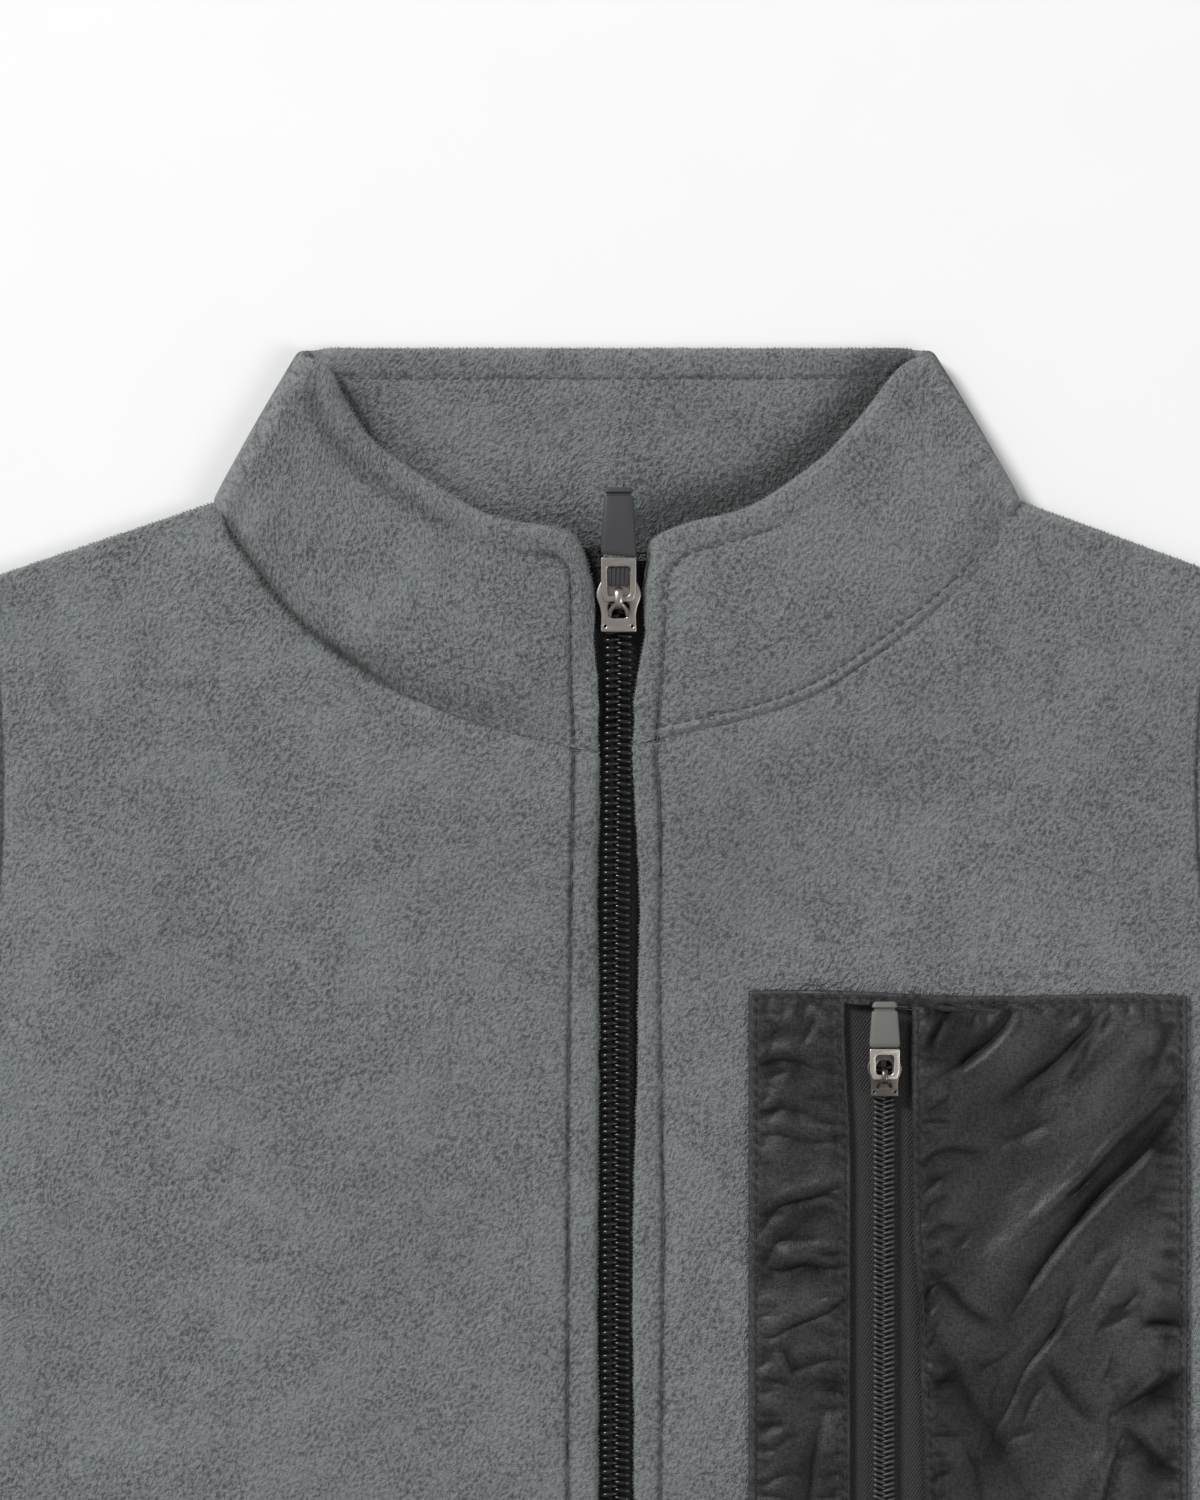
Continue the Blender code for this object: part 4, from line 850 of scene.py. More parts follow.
    # a soft trough runs beside the right top edge
    beside = smooth(share, 0.0, 0.06) * (1 - smooth(share, 0.50, 0.70)) * onRight
    rim = beside * (collarLook["rim"] * bell(toTop - 0.0026, 0.0020)
                    - collarLook["rimTrough"] * bell(toTop - 0.0062, 0.0021))
    rim = rim - 0.00022 * onLeft * uneven * bell(toTop - 0.0012, 0.0004) * (1 - smooth(share, 0.5, 0.7))
    rim = rim + np.where(onRight, -0.0005 * bell(toTop - 0.0085, 0.0022) * smooth(share, 0.62, 0.72)
                         * (1 - smooth(share, 0.84, 0.92)), 0)
    outsideLift = np.where(frontal, line + swell + low + rim, 0) + np.where(frontal, waves, 0.5 * waves)
    insideLift = np.where(zone == 0, line + 0.6 * swell + waves, 0.0)
    insideLift = insideLift - 0.0010 * np.where(zone == 0, smooth(toTop, 0.008, 0.022), 0)
    # painted shade beside the neck seam, and a broad band of it above the seam on the right front
    tone = np.where(zone == 1, seamPaintedShade("left", up, seamShare, seamRun),
                    seamPaintedShade("right", up, seamShare, seamRun)
                    + 0.30 * bell(up - 0.0022, 0.0028) * smooth(share, 0.22, 0.40)
                    * (1 - smooth(share, 0.66, 0.86)))
    press = np.clip(bell(away, 0.00045) * np.minimum(strength, 1)
                    + np.where(onLeft, 0.20 * seen * puff * bell(second, 0.0005), 0)
                    + np.where(frontal, tone, 0), 0, 1)
    # painted shade in the trough beside the right top edge, and a little over the whole right front
    press = np.clip(press + 0.42 * beside * bell(toTop - 0.0064, 0.0022) + 0.10 * onRight, 0, 1)
    # inside the back, the pile beside the fronts' top edges lies deeper and gets painted shadow from them,
    # most of all beside the zip;
    # at the folds it joins them
    join = np.zeros(x.shape)
    insideShade = 0.5 * bell(x, 0.018) * bell(y - 0.196, 0.009)
    for side, wide, dark in (("right", 0.0042, 0.75), ("left", 0.0078, 1.9)):
        inward, _, left = toPath(topPath[side], x, y)
        fromCorner = np.hypot(x - topPath[side][0, 0], y - topPath[side][0, 1])
        start = smooth(fromCorner, *((0.006, 0.016) if side == "right" else (0.002, 0.008)))
        insideShade = insideShade + dark * bell(inward, wide) * start
        seenSide = left * sides[side]["sign"] < 0
        join = join + (bell(fromCorner, 0.0075) * seenSide * collarLook["join"]
                       * (1 - smooth(inward, 0.0004, 0.0048)))
    join = join * smooth(np.minimum(share, 1 - share), 0.004, 0.045)
    press = np.clip(press + 0.70 * np.where(zone == 0, insideShade, 0), 0, 1)
    # the outer face of this shell points up on the fronts and down on the back
    outerLift = np.where((zone == 0) | (share < 0), 0.0, outsideLift)
    innerLift = np.where((zone == 0) & ~(share < 0), insideLift + join, 0.0)
    for side, mine in rowsOf.items():
        grid[mine, :, 0] = zipShift(side, x[mine], y[mine])
    onFold = collarLook["aroundFront"] + len(edgeSteps) - 1 + collarLook["aroundFold"] // 2 - 1
    top, backStart = grid[:, -1], np.nonzero(zone[:, 0] == 0)[0][0]
    looseEdges.extend([grid[0], grid[-1][::-1], grid[onFold][::-1], grid[-1 - onFold],
                       top[:backStart - 6], top[backStart:-backStart][::-1], top[6 - backStart:]])
    coords = np.stack([around - around.max() / 2, up + 0.16, np.full(up.shape, 0.3)], -1)
    made = shell("fleeceCollar", grid, half, fleece, outerLift, innerLift, coords=coords, press=press)
    place(made, "garment", "fleece", "collar")
    print("collar", len(made.data.polygons))
    return made


makeBack()
fronts = [makeFront("right"), makeFront("left")]
collarPiece = makeCollar()
print("fleece panels made")


# ---- what repeats along a path: teeth, stitches

def tube(points, side, widths, heights, sides=6):  # a closed bar along points, flat across the side vector
    points = np.array(points, float)
    side = np.array(side, float) / np.linalg.norm(side)
    ahead = np.gradient(points, axis=0)
    ahead /= np.linalg.norm(ahead, axis=1, keepdims=True)
    up = np.cross(ahead, side)
    up /= np.linalg.norm(up, axis=1, keepdims=True)
    across = np.cross(up, ahead)
    widths, heights = np.broadcast_to(widths, len(points)), np.broadcast_to(heights, len(points))
    rings = []
    for k, point in enumerate(points):
        for j in range(sides):
            angle = math.tau * (j + 0.5) / sides
            rings.append(point + across[k] * widths[k] * math.cos(angle)
                         + up[k] * heights[k] * math.sin(angle))
    faces = []
    for k in range(len(points) - 1):
        for j in range(sides):
            a, b = k * sides + j, k * sides + (j + 1) % sides
            faces.append((a, a + sides, b + sides, b))
    faces.append(tuple(range(sides)))
    faces.append(tuple(range(len(rings) - 1, len(rings) - 1 - sides, -1)))
    return np.array(rings), faces


def outward(made):  # merge doubles and turn the faces of closed pieces outwards
    work = bmesh.new()
    work.from_mesh(made.data)
    bmesh.ops.remove_doubles(work, verts=work.verts, dist=1e-6)
    bmesh.ops.recalc_face_normals(work, faces=work.faces)
    work.to_mesh(made.data)
    work.free()
    return made


def piecesAlongPath():
    tree = bpy.data.node_groups.new("piecesAlongPath", "GeometryNodeTree")
    add = partial(addNode, tree)
    for name, kind in (("Geometry", "Geometry"), ("Piece", "Object"), ("Spacing", "Float"), ("Turn", "Float"),
                       ("Size Change", "Float"), ("Seed", "Int"), ("Finish", "Material")):
        tree.interface.new_socket(name, in_out="INPUT", socket_type="NodeSocket" + kind)
    tree.interface.new_socket("Geometry", in_out="OUTPUT", socket_type="NodeSocketGeometry")
    given = add("NodeGroupInput", out=None).outputs
    line = add("GeometryNodeMeshToCurve", {"Mesh": given["Geometry"]})
    even = add("GeometryNodeResampleCurve", {"Curve": line, "Length": given["Spacing"]}, mode="LENGTH")
    ahead = add("GeometryNodeInputTangent")
    level = add("FunctionNodeAlignRotationToVector", {"Vector": ahead}, axis="Y", pivot_axis="Z")
    tilted = add("FunctionNodeAlignRotationToVector", {"Rotation": level, "Vector": ahead},
                 axis="Y", pivot_axis="X")
    piece = add("GeometryNodeObjectInfo", {"Object": given["Piece"]}, "Geometry")
    sown = add("GeometryNodeInstanceOnPoints", {"Points": even, "Instance": piece, "Rotation": tilted})
    back = add("ShaderNodeMath", {0: given["Turn"], 1: -1.0}, operation="MULTIPLY")
    turn = add("FunctionNodeRandomValue", {"Seed": given["Seed"], 2: back, 3: given["Turn"]}, 1,
               data_type="FLOAT")
    euler = add("ShaderNodeCombineXYZ", {"Z": turn})
    turned = add("GeometryNodeRotateInstances", {"Instances": sown, "Rotation": euler})
    low, high = [add("ShaderNodeMath", {0: 1.0, 1: given["Size Change"]}, operation=operation)
                 for operation in ("SUBTRACT", "ADD")]
    size = add("FunctionNodeRandomValue", {"Seed": given["Seed"], 2: low, 3: high}, 1, data_type="FLOAT")
    sized = add("GeometryNodeScaleInstances", {"Instances": turned, "Scale": size})
    real = add("GeometryNodeRealizeInstances", {"Geometry": sized})
    finish = add("GeometryNodeSetMaterial", {"Geometry": real, "Material": given["Finish"]})
    add("NodeGroupOutput", {0: finish}, None)
    return tree


alongTree = piecesAlongPath()


def repeatAlong(name, paths, piece, spacing, finish, turn=0.0, change=0.0, seed=1):
    points, edges = [], []
    for path in paths:
        start = len(points)
        points += [tuple(map(float, p)) for p in path]
        edges += [(k, k + 1) for k in range(start, len(points) - 1)]
    mesh = bpy.data.meshes.new(name)
    mesh.from_pydata(points, edges, [])
    made = addObject(name, mesh)
    modifier = made.modifiers.new("along", "NODES")
    modifier.node_group = alongTree
    inputs = [item for item in alongTree.interface.items_tree if item.in_out == "INPUT"]
    sockets = {item.name: item.identifier for item in inputs}
    values = {"Piece": piece, "Spacing": spacing, "Turn": turn, "Size Change": change, "Seed": seed,
              "Finish": finish}
    for key, value in values.items():
        modifier[sockets[key]] = value
    shape = made.evaluated_get(bpy.context.evaluated_depsgraph_get())
    plain = bpy.data.meshes.new_from_object(shape)
    made.modifiers.clear()
    made.data = plain
    plain.shade_smooth()
    bpy.data.objects.remove(piece)
    return made


def sampled(path, step=0.001):
    path = np.array(path, float)
    total = walked(path)[-1]
    return alongPath(path, np.linspace(0, total, max(int(total / step), 2)))


def surfaceAt(pieces, x, y):  # height of the highest of these pieces at a place
    best, wellAbove = None, 0.1
    for made in pieces:
        hit, where, _, _ = made.ray_cast(Vector((x, y, wellAbove)), Vector((0, 0, -1)))
        if hit and (best is None or where.z > best):
            best = where.z
    return best


def laidOn(pieces, path, lift):  # a path in plan, laid on the surface of some pieces
    laid = []
    for x, y in sampled(path):
        z = surfaceAt(pieces, x, y)
        if z is not None:
            laid.append((x, y, z + lift))
    return laid


# ---- zip tapes and coils

zipLook = {
    "tape": 0.0006, "reach": 0.0125, "slit": 0.0002, "topY": {"right": 0.1953, "left": 0.1926},
    "sliderY": 0.1779, "half": 0.00295, "height": 0.0023, "pitch": 0.00158, "wire": 0.00037,
    "boxLength": 0.0095, "pinLength": 0.0060,
}


def strip(name, heights, edges, level, thick, finish, columns=11):
    rows = []
    spread = np.sort(np.concatenate([np.linspace(0, 1, columns), [0.012, 0.988]]))
    for y in heights:
        start, end = edges(y)
        xs, ys = start + (end - start) * spread, np.full(len(spread), y)
        rows.append(np.stack([xs, ys, level(xs, ys) + thick / 2], 1))
    grid = np.array(rows)
    edge = np.minimum(abs(grid[..., 0] - grid[:, :1, 0]), abs(grid[..., 0] - grid[:, -1:, 0]))
    half = np.where(edge < 1e-6, thick * 0.2, thick / 2)
    return shell(name, grid, half, finish)


def makeMainTapes():
    look = zipLook
    for side in sides:
        sign, top = sides[side]["sign"], look["topY"][side]
        heights = [cut["hemY"] + 0.001, *np.arange(-0.233, 0.175, 0.003),
                   *np.arange(0.176, top - 0.0003, 0.0008), top]

        def edges(y, sign=sign):
            spread = 0.0030 * smooth(y, look["sliderY"] + 0.0030, look["sliderY"] + 0.0080)
            inner = chainMiddle(y) + sign * (look["slit"] + spread)
            outer = chainMiddle(y) + sign * look["reach"]
            outer = outer + sign * 0.0004 * softNoise(np.array(y), np.array(0.0), 0.0012, 1.0, 31)
            return (outer, inner) if sign < 0 else (inner, outer)

        def level(x, y, side=side):
            under = frontUnderside(side, x, np.minimum(y, seamY))
            return np.where(y >= seamY, seamUnderside(1.0), under) - cut["gap"] - look["tape"]

        made = strip("zipTape" + side.capitalize(), heights, edges, level, look["tape"], tape)
        place(made, "garment", "zip_tape", "zip_tape_" + side)


def toothPiece(sign, half, wire, tall, slant):  # one turn of the coil, from its outer edge over to its head
    points = [(0.97 * half, -slant, 0.26 * tall), (0.99 * half, -slant * 0.9, 0.52 * tall),
              (0.86 * half, -slant * 0.7, 0.80 * tall), (0.58 * half, -slant * 0.3, 0.855 * tall),
              (0.26 * half, slant * 0.2, 0.83 * tall), (0.00 * half, slant * 0.6, 0.76 * tall),
              (-0.16 * half, slant * 0.8, 0.52 * tall), (-0.10 * half, slant, 0.26 * tall)]
    points = [(sign * x, y, z) for x, y, z in points]
    wide = np.array([1.20, 1.35, 1.40, 1.30, 1.05, 1.05, 1.10, 1.0]) * wire
    deep = np.array([1, 1, 1, 0.96, 0.95, 1.05, 1.05, 1.0]) * wire * 0.94
    return outward(meshObject("tooth", *tube(points, (0, 1, 0), wide, deep, 6)))


def makeCoil(name, node, look, start, end, middle, level, slant, finish):  # two halves, half a pitch apart
    count = int((end - start) / look["pitch"])
    halves = []
    for sign, shift in ((-1, 0.0), (1, 0.5)):
        ys = start + (np.arange(2 * count + 1) / 2 + shift) * look["pitch"]
        path = np.stack([middle(ys), ys, level(ys)], 1)
        tooth = toothPiece(sign, look["half"], look["wire"], look["height"], slant)
        halves.append(repeatAlong(name + ("Left" if sign > 0 else "Right"), [path], tooth, look["pitch"],
                                  finish, turn=0.035, change=0.02, seed=5 + sign))
    made = place(joinObjects(name, halves, finish), "garment", "zip_coil", node)
    print(name, len(made.data.polygons))


def joinObjects(name, pieces, finish):
    work = bmesh.new()
    for part in pieces:
        work.from_mesh(part.data)
    for part in pieces:
        bpy.data.objects.remove(part)
    mesh = bpy.data.meshes.new(name)
    work.to_mesh(mesh)
    work.free()
    mesh.shade_smooth()
    mesh.materials.clear()
    mesh.materials.append(finish)
    return addObject(name, mesh)


def makeMainZip():
    look, hem = zipLook, cut["hemY"]
    makeMainTapes()
    makeCoil("zipCoil", "zip_chain", look, hem + look["boxLength"] + look["pinLength"] + 0.0008,
             look["sliderY"] + 0.0080, chainMiddle, zipUnderside, 0.00022, mainWire)
    level = float(zipUnderside(hem + 0.005))
    box = loft("zipBox", [hem + 0.0010, hem + 0.0013, hem + 0.0060, hem + 0.0091, hem + 0.0094],
               [0.0024, 0.0028, 0.00295, 0.0028, 0.0024], [0.0010, 0.00125, 0.0013, 0.0012, 0.0009],
               cut["chainX"], level + 0.0013, mainWire)
    place(box, "garment", "zip_coil", "zip_box")
    pinY = hem + look["boxLength"] + 0.0008
    pin = loft("zipPin", [pinY, pinY + 0.0003, pinY + 0.0046, pinY + 0.0049],
               [0.0008, 0.0011, 0.0011, 0.0008], [0.0006, 0.0009, 0.0009, 0.0006],
               cut["chainX"], level + 0.0009, mainWire)
    place(pin, "garment", "zip_coil", "zip_pin")


def loft(name, ys, halves, thicks, x, z, finish, sides=16, square=3.2):
    # a bar along Y through rounded cross sections
    rings = []
    for y, half, thick in zip(ys, halves, thicks):
        for j in range(sides):
            angle = math.tau * (j + 0.5) / sides
            c, s = math.cos(angle), math.sin(angle)
            rings.append((x + abs(c) ** (2 / square) * math.copysign(half, c), y,
                          z + abs(s) ** (2 / square) * math.copysign(thick, s)))
    faces = [(k * sides + j, k * sides + (j + 1) % sides,
              (k + 1) * sides + (j + 1) % sides, (k + 1) * sides + j)
             for k in range(len(ys) - 1) for j in range(sides)]
    faces += [tuple(range(sides)), tuple(range(len(rings) - 1, len(rings) - 1 - sides, -1))]
    return outward(meshObject(name, rings, faces, finish))


# ---- sliders and pulls

sliderOutline = [(0.0, 0.76), (0.03, 0.80), (0.28, 0.77), (0.42, 0.82), (0.53, 0.93), (0.61, 1.0),
                 (0.70, 0.98), (0.82, 0.86), (0.93, 0.70), (1.0, 0.52)]
mainSlider = {
    "half": 0.0046, "length": 0.0119, "chain": 0.0023, "chainHalf": 0.00295, "tape": 0.0006,
    "plate": 0.0011, "shield": 0.0008, "axis": 0.0067, "bar": 0.0008, "arch": 0.0007,
    "bridge": 0.00082, "leg": 0.00042, "rise": 0.0022, "fall": 0.0034, "spread": 0.0016,
    "window": (0.0028, 0.0047, 0.0018), "edge": 0.00028,
}
pocketSlider = {
    "half": 0.0036, "length": 0.0090, "chain": 0.0018, "chainHalf": 0.0022, "tape": 0.0006,
    "plate": 0.0009, "shield": 0.0005, "axis": 0.0040, "bar": 0.0007, "arch": 0.0006,
    "bridge": 0.00062, "leg": 0.00034, "rise": 0.0017, "fall": 0.0022, "spread": 0.0012,
    "window": (0.0021, 0.0056, 0.0017), "edge": 0.00022,
}
mainPull = {
    "half": 0.0036, "window": 0.0024, "bar": 0.0006, "windowEnd": 0.0066, "frameEnd": 0.0085,
    "gripEnd": 0.0227, "gripNear": 0.0037, "gripFar": 0.0029, "thick": 0.0011, "gripThick": 0.0021,
    "corner": 0.0007, "edge": 0.00022, "slant": -0.10, "capLength": 0.0014, "ribs": 5,
}
pocketPull = {
    "half": 0.0031, "window": 0.0019, "bar": 0.0005, "windowEnd": 0.0045, "frameEnd": 0.0058,
    "gripEnd": 0.0154, "gripNear": 0.0032, "gripFar": 0.0025, "thick": 0.0009, "gripThick": 0.0018,
    "corner": 0.0008, "edge": 0.00020, "slant": 0.0, "capLength": 0.0016, "ribs": 0,
}


def roundedCorners(points, radius, steps=4):
    points = [np.array(p, float) for p in points]
    out = []
    for k, corner in enumerate(points):
        before, after = points[k - 1], points[(k + 1) % len(points)]
        a, b = before - corner, after - corner
        cutBack = min(radius, np.linalg.norm(a) * 0.45, np.linalg.norm(b) * 0.45)
        start, end = corner + a / np.linalg.norm(a) * cutBack, corner + b / np.linalg.norm(b) * cutBack
        for t in np.linspace(0, 1, steps + 1):
            out.append((1 - t) ** 2 * start + 2 * t * (1 - t) * corner + t**2 * end)
    return out


def plate(name, outlines, thick, centre, edge, finish=None):  # a flat piece with rounded edges; holes follow
    curve = bpy.data.curves.new(name, "CURVE")
    curve.dimensions, curve.fill_mode = "2D", "BOTH"
    curve.extrude, curve.bevel_depth, curve.bevel_resolution = thick / 2 - edge, edge, 2
    curve.offset = -edge
    for outline in outlines:
        spline = curve.splines.new("POLY")
        spline.points.add(len(outline) - 1)
        for point, (x, y) in zip(spline.points, outline):
            point.co = (x, y, 0, 1)
        spline.use_cyclic_u = True
    flat = addObject(name + "Outline", curve)
    mesh = bpy.data.meshes.new_from_object(flat.evaluated_get(bpy.context.evaluated_depsgraph_get()))
    bpy.data.objects.remove(flat)
    mesh.name = name
    mesh.transform(Matrix.Translation(centre))
    made = addObject(name, mesh)
    if finish:
        mesh.materials.clear()
        mesh.materials.append(finish)
    outward(made)
    mesh.shade_smooth()
    mesh.set_sharp_from_angle(angle=math.radians(38))
    return made


def circleAt(x, y, radius):
    turns = [math.tau * k / 14 for k in range(14)]
    return [(x + radius * math.cos(turn), y + radius * math.sin(turn)) for turn in turns]


def makeSlider(name, node, size, x, y, z, finish):  # x, y: middle of its lower end; z: underside of the coil
    half, length = size["half"], size["length"]
    outline = [(half * wide, length * share) for share, wide in sliderOutline]
    outline = outline + [(-px, py) for px, py in outline[::-1]]
    outline = roundedCorners(outline, 0.0006, 3)
    wide, level, tall = size["window"]  # half width, height of its middle, half height
    opening = [(-wide * 0.62, level - tall), (wide * 0.62, level - tall), (wide * 0.8, level + tall * 0.4),
               (wide * 0.5, level + tall), (-wide * 0.5, level + tall), (-wide * 0.8, level + tall * 0.4)]
    opening = roundedCorners(opening, 0.0007, 3)
    dots = [circleAt(sign * half * 0.60, length * 0.10, half * 0.055) for sign in (-1, 1)]
    top = z + size["chain"] + cut["gap"] + size["plate"]
    pieces = [plate(name + "Face", [outline, opening, *dots], size["plate"], (x, y, top - size["plate"] / 2),
                    size["edge"])]
    floor = z - size["tape"] - 2 * cut["gap"]
    pieces.append(plate(name + "Back", [outline], size["shield"], (x, y, floor - size["shield"] / 2),
                        size["edge"] * 0.8))
    inner = size["chainHalf"] + cut["gap"]
    for sign in (-1, 1):  # the rolled sides that hold the coil
        wall = [(sign * max(half * wide - 0.00012, inner + 0.00015), length * share)
                for share, wide in sliderOutline if share < 0.86]
        wall += [(sign * inner, py) for _, py in wall[::-1]]
        tall = size["chain"] + cut["gap"] + 0.0002
        pieces.append(plate(name + "Side", [wall], tall, (x, y, z + cut["gap"] / 2 + tall / 2), 0.00005))
    tall = top - floor + size["shield"] - 0.0006
    post = [(-half * 0.30, length * 0.80), (half * 0.30, length * 0.80), (half * 0.16, length * 0.97),
            (-half * 0.16, length * 0.97)]
    pieces.append(plate(name + "Post", [roundedCorners(post, 0.0003)], tall,
                        (x, y, floor - size["shield"] + 0.0003 + tall / 2), 0.0001))
    axis = top + size["bar"] + cut["gap"]
    crest = axis + size["bar"] + cut["gap"] + size["arch"] / 2
    middle = y + size["axis"]
    rise, fall, spread = size["rise"], size["fall"], size["spread"]

    def at(aside, along, share):
        return (x + aside, middle + along, top + share * (crest - top))

    arch = [(x, middle + rise, top - 0.0004), at(0, rise * 0.96, 0.45), at(0, rise * 0.68, 0.88),
            (x, middle + rise * 0.20, crest), (x, middle - fall * 0.22, crest - 0.00005),
            at(0, -fall * 0.42, 0.72), at(0, -fall * 0.50, 0.45)]
    bridge = tube(curveThrough(arch, 4), (1, 0, 0), size["bridge"], size["arch"] / 2, 12)
    pieces.append(outward(meshObject(name + "Bridge", *bridge)))
    for sign in (-1, 1):  # the bridge forks into two legs beside the opening
        leg = [at(sign * spread * aside, -fall * along, share) for aside, along, share in
               ((0.22, 0.26, 0.86), (0.62, 0.46, 0.66), (0.98, 0.66, 0.36), (1.12, 0.90, 0.08))]
        leg.append((x + sign * spread * 1.14, middle - fall, top - 0.0003))
        leg = tube(curveThrough(leg, 3), (1, 0, 0), size["leg"], size["leg"] * 0.9, 10)
        pieces.append(outward(meshObject(name + "Leg", *leg)))
    made = joinObjects(name, pieces, finish)
    made.data.set_sharp_from_angle(angle=math.radians(38))
    place(made, "garment", "zip_metal", node)


def makePull(name, body, size, metal, rubber):  # stands on its hinge
    x, y, z = next(joint["pos_m"] for joint in frame["joints"] if joint["name"] == body + "_hinge")
    half, hole = size["half"], size["window"]
    bar, frameEnd, windowEnd = size["bar"], size["frameEnd"], size["windowEnd"]
    outer = [(-half * 0.80, -bar), (half * 0.80, -bar), (half * 0.98, 0.0010), (half, 0.0030),
             (half, frameEnd), (-half, frameEnd), (-half, 0.0030), (-half * 0.98, 0.0010)]
    inner = [(-hole * 0.92, bar), (hole * 0.92, bar), (hole, windowEnd), (-hole, windowEnd)]
    outlines = [roundedCorners(outer, size["corner"] * 0.5, 3), roundedCorners(inner, size["corner"], 4)]
    ring = plate(name + "Frame", outlines, size["thick"], (x, y, z), size["edge"], metal)
    place(ring, body, "zip_metal", body + "_frame")
    start, end = frameEnd + cut["gap"], size["gripEnd"]
    cap = size["capLength"]
    runs = [start, start + 0.0003, start + 0.0010, end - cap - 0.0007, end - cap - 0.0004, end - cap - 0.0002,
            end - cap + 0.00025, end - cap + 0.0005, end - 0.0004, end]
    share = (np.array(runs) - start) / (end - start)
    halves = size["gripNear"] + (size["gripFar"] - size["gripNear"]) * share
    halves = halves - np.array([0.0004, 0.0001, 0, 0, 0.0001, 0.0005, 0.0005, 0, 0.0001, 0.0005])
    thinner = [0.0004, 0.0001, 0, 0, 0.0001, 0.0006, 0.0006, 0.00005, 0.0001, 0.0004]
    thicks = size["gripThick"] / 2 - np.array(thinner)
    grip = loft(name + "GripBody", [y + run for run in runs], halves, thicks, x, z, rubber,
                sides=28, square=5.0)
    lower = np.array([v.co for v in grip.data.vertices])
    slant = size["slant"] * (1 - smooth(lower[:, 1] - y, start, start + 0.004))
    lower[:, 1] += slant * (lower[:, 0] - x)
    grip.data.vertices.foreach_set("co", lower.astype(np.float32).ravel())
    pieces = [grip]
    if size["ribs"]:  # the grip's ribbed tongue shows inside the frame
        tongue = windowEnd - 0.0038
        for k in range(size["ribs"]):
            rx = x + (k - (size["ribs"] - 1) / 2) * hole * 0.36
            line = [(rx, y + tongue, z - 0.0004), (rx, y + tongue + 0.0003, z - 0.00015),
                    (rx, y + windowEnd - 0.0004, z - 0.00010), (rx, y + windowEnd - 0.00005, z - 0.0002)]
            pieces.append(outward(meshObject("rib", *tube(line, (1, 0, 0), 0.00030, 0.00028, 8))))
        wide, far = hole * 0.86, windowEnd - 0.00008
        web = [(-wide, tongue), (wide, tongue), (wide, far), (-wide, far)]
        pieces.append(plate("web", [roundedCorners(web, 0.0003)], 0.0004, (x, y, z - 0.00034), 0.0001))
    made = joinObjects(name + "Grip", pieces, rubber)
    made.data.set_sharp_from_angle(angle=math.radians(38))
    place(made, body, "pull_rubber", body + "_grip")


def makeMainSlider():
    y = zipLook["sliderY"]
    x, z = float(chainMiddle(y)), float(zipUnderside(y))
    makeSlider("mainSlider", "zip_slider", mainSlider, x, y, z, nickel)
    makePull("mainPull", "zip_pull", mainPull, nickel, mainRubber)


# ---- chest pocket

pocket = {
    "x": (0.0277, 0.1176), "y": (-0.0200, 0.1040), "window": (0.0486, 0.0611), "nylon": 0.0010,
    "chainX": 0.05535, "half": 0.0022, "height": 0.0018, "pitch": 0.00112, "wire": 0.00029,
    "tapeLift": 0.0011, "tapeReach": 0.0102, "sliderY": 0.0832, "puff": 0.0011,
    "stitchIn": 0.0015, "zipStitchIn": 0.0012, "stitch": 0.0024, "cell": 0.00055,
    "tab": 0.0018,  # the panel's tab above the zip reaches this far past the window
    "creaseGain": 1.35,
}
# creases: points, depth, width, ridge height beside it and its side (1 to the left of the way it runs)
stripCreases = [
    ([(.0300, .0895), (.0345, .0905), (.0395, .0895), (.0430, .0880)], .0007, .0009, .00035, 1),
    ([(.0290, .0795), (.0350, .0805), (.0420, .0785)], .0004, .0008, .0002, 1),
    ([(.0310, .0590), (.0360, .0610), (.0420, .0625), (.0480, .0650)], .0008, .0011, .0004, 1),
    ([(.0310, .0480), (.0350, .0472), (.0390, .0485), (.0440, .0478), (.0482, .0495)],
     .0008, .0009, .0004, 1),
    ([(.0482, .0430), (.0440, .0390), (.0370, .0360), (.0295, .0320)], .0006, .0009, .0003, -1),
    ([(.0345, .0320), (.0365, .0270), (.0395, .0262)], .0005, .0008, .0003, -1),
    ([(.0430, .0180), (.0408, .0080), (.0400, -.0040), (.0410, -.0160)], .0006, .0012, .0003, 1),
    ([(.0290, .0130), (.0320, .0105), (.0350, .0112)], .0004, .0007, .0002, 1),
    ([(.0420, .0990), (.0400, .0950), (.0380, .0935)], .0004, .0008, .0002, 1),
]
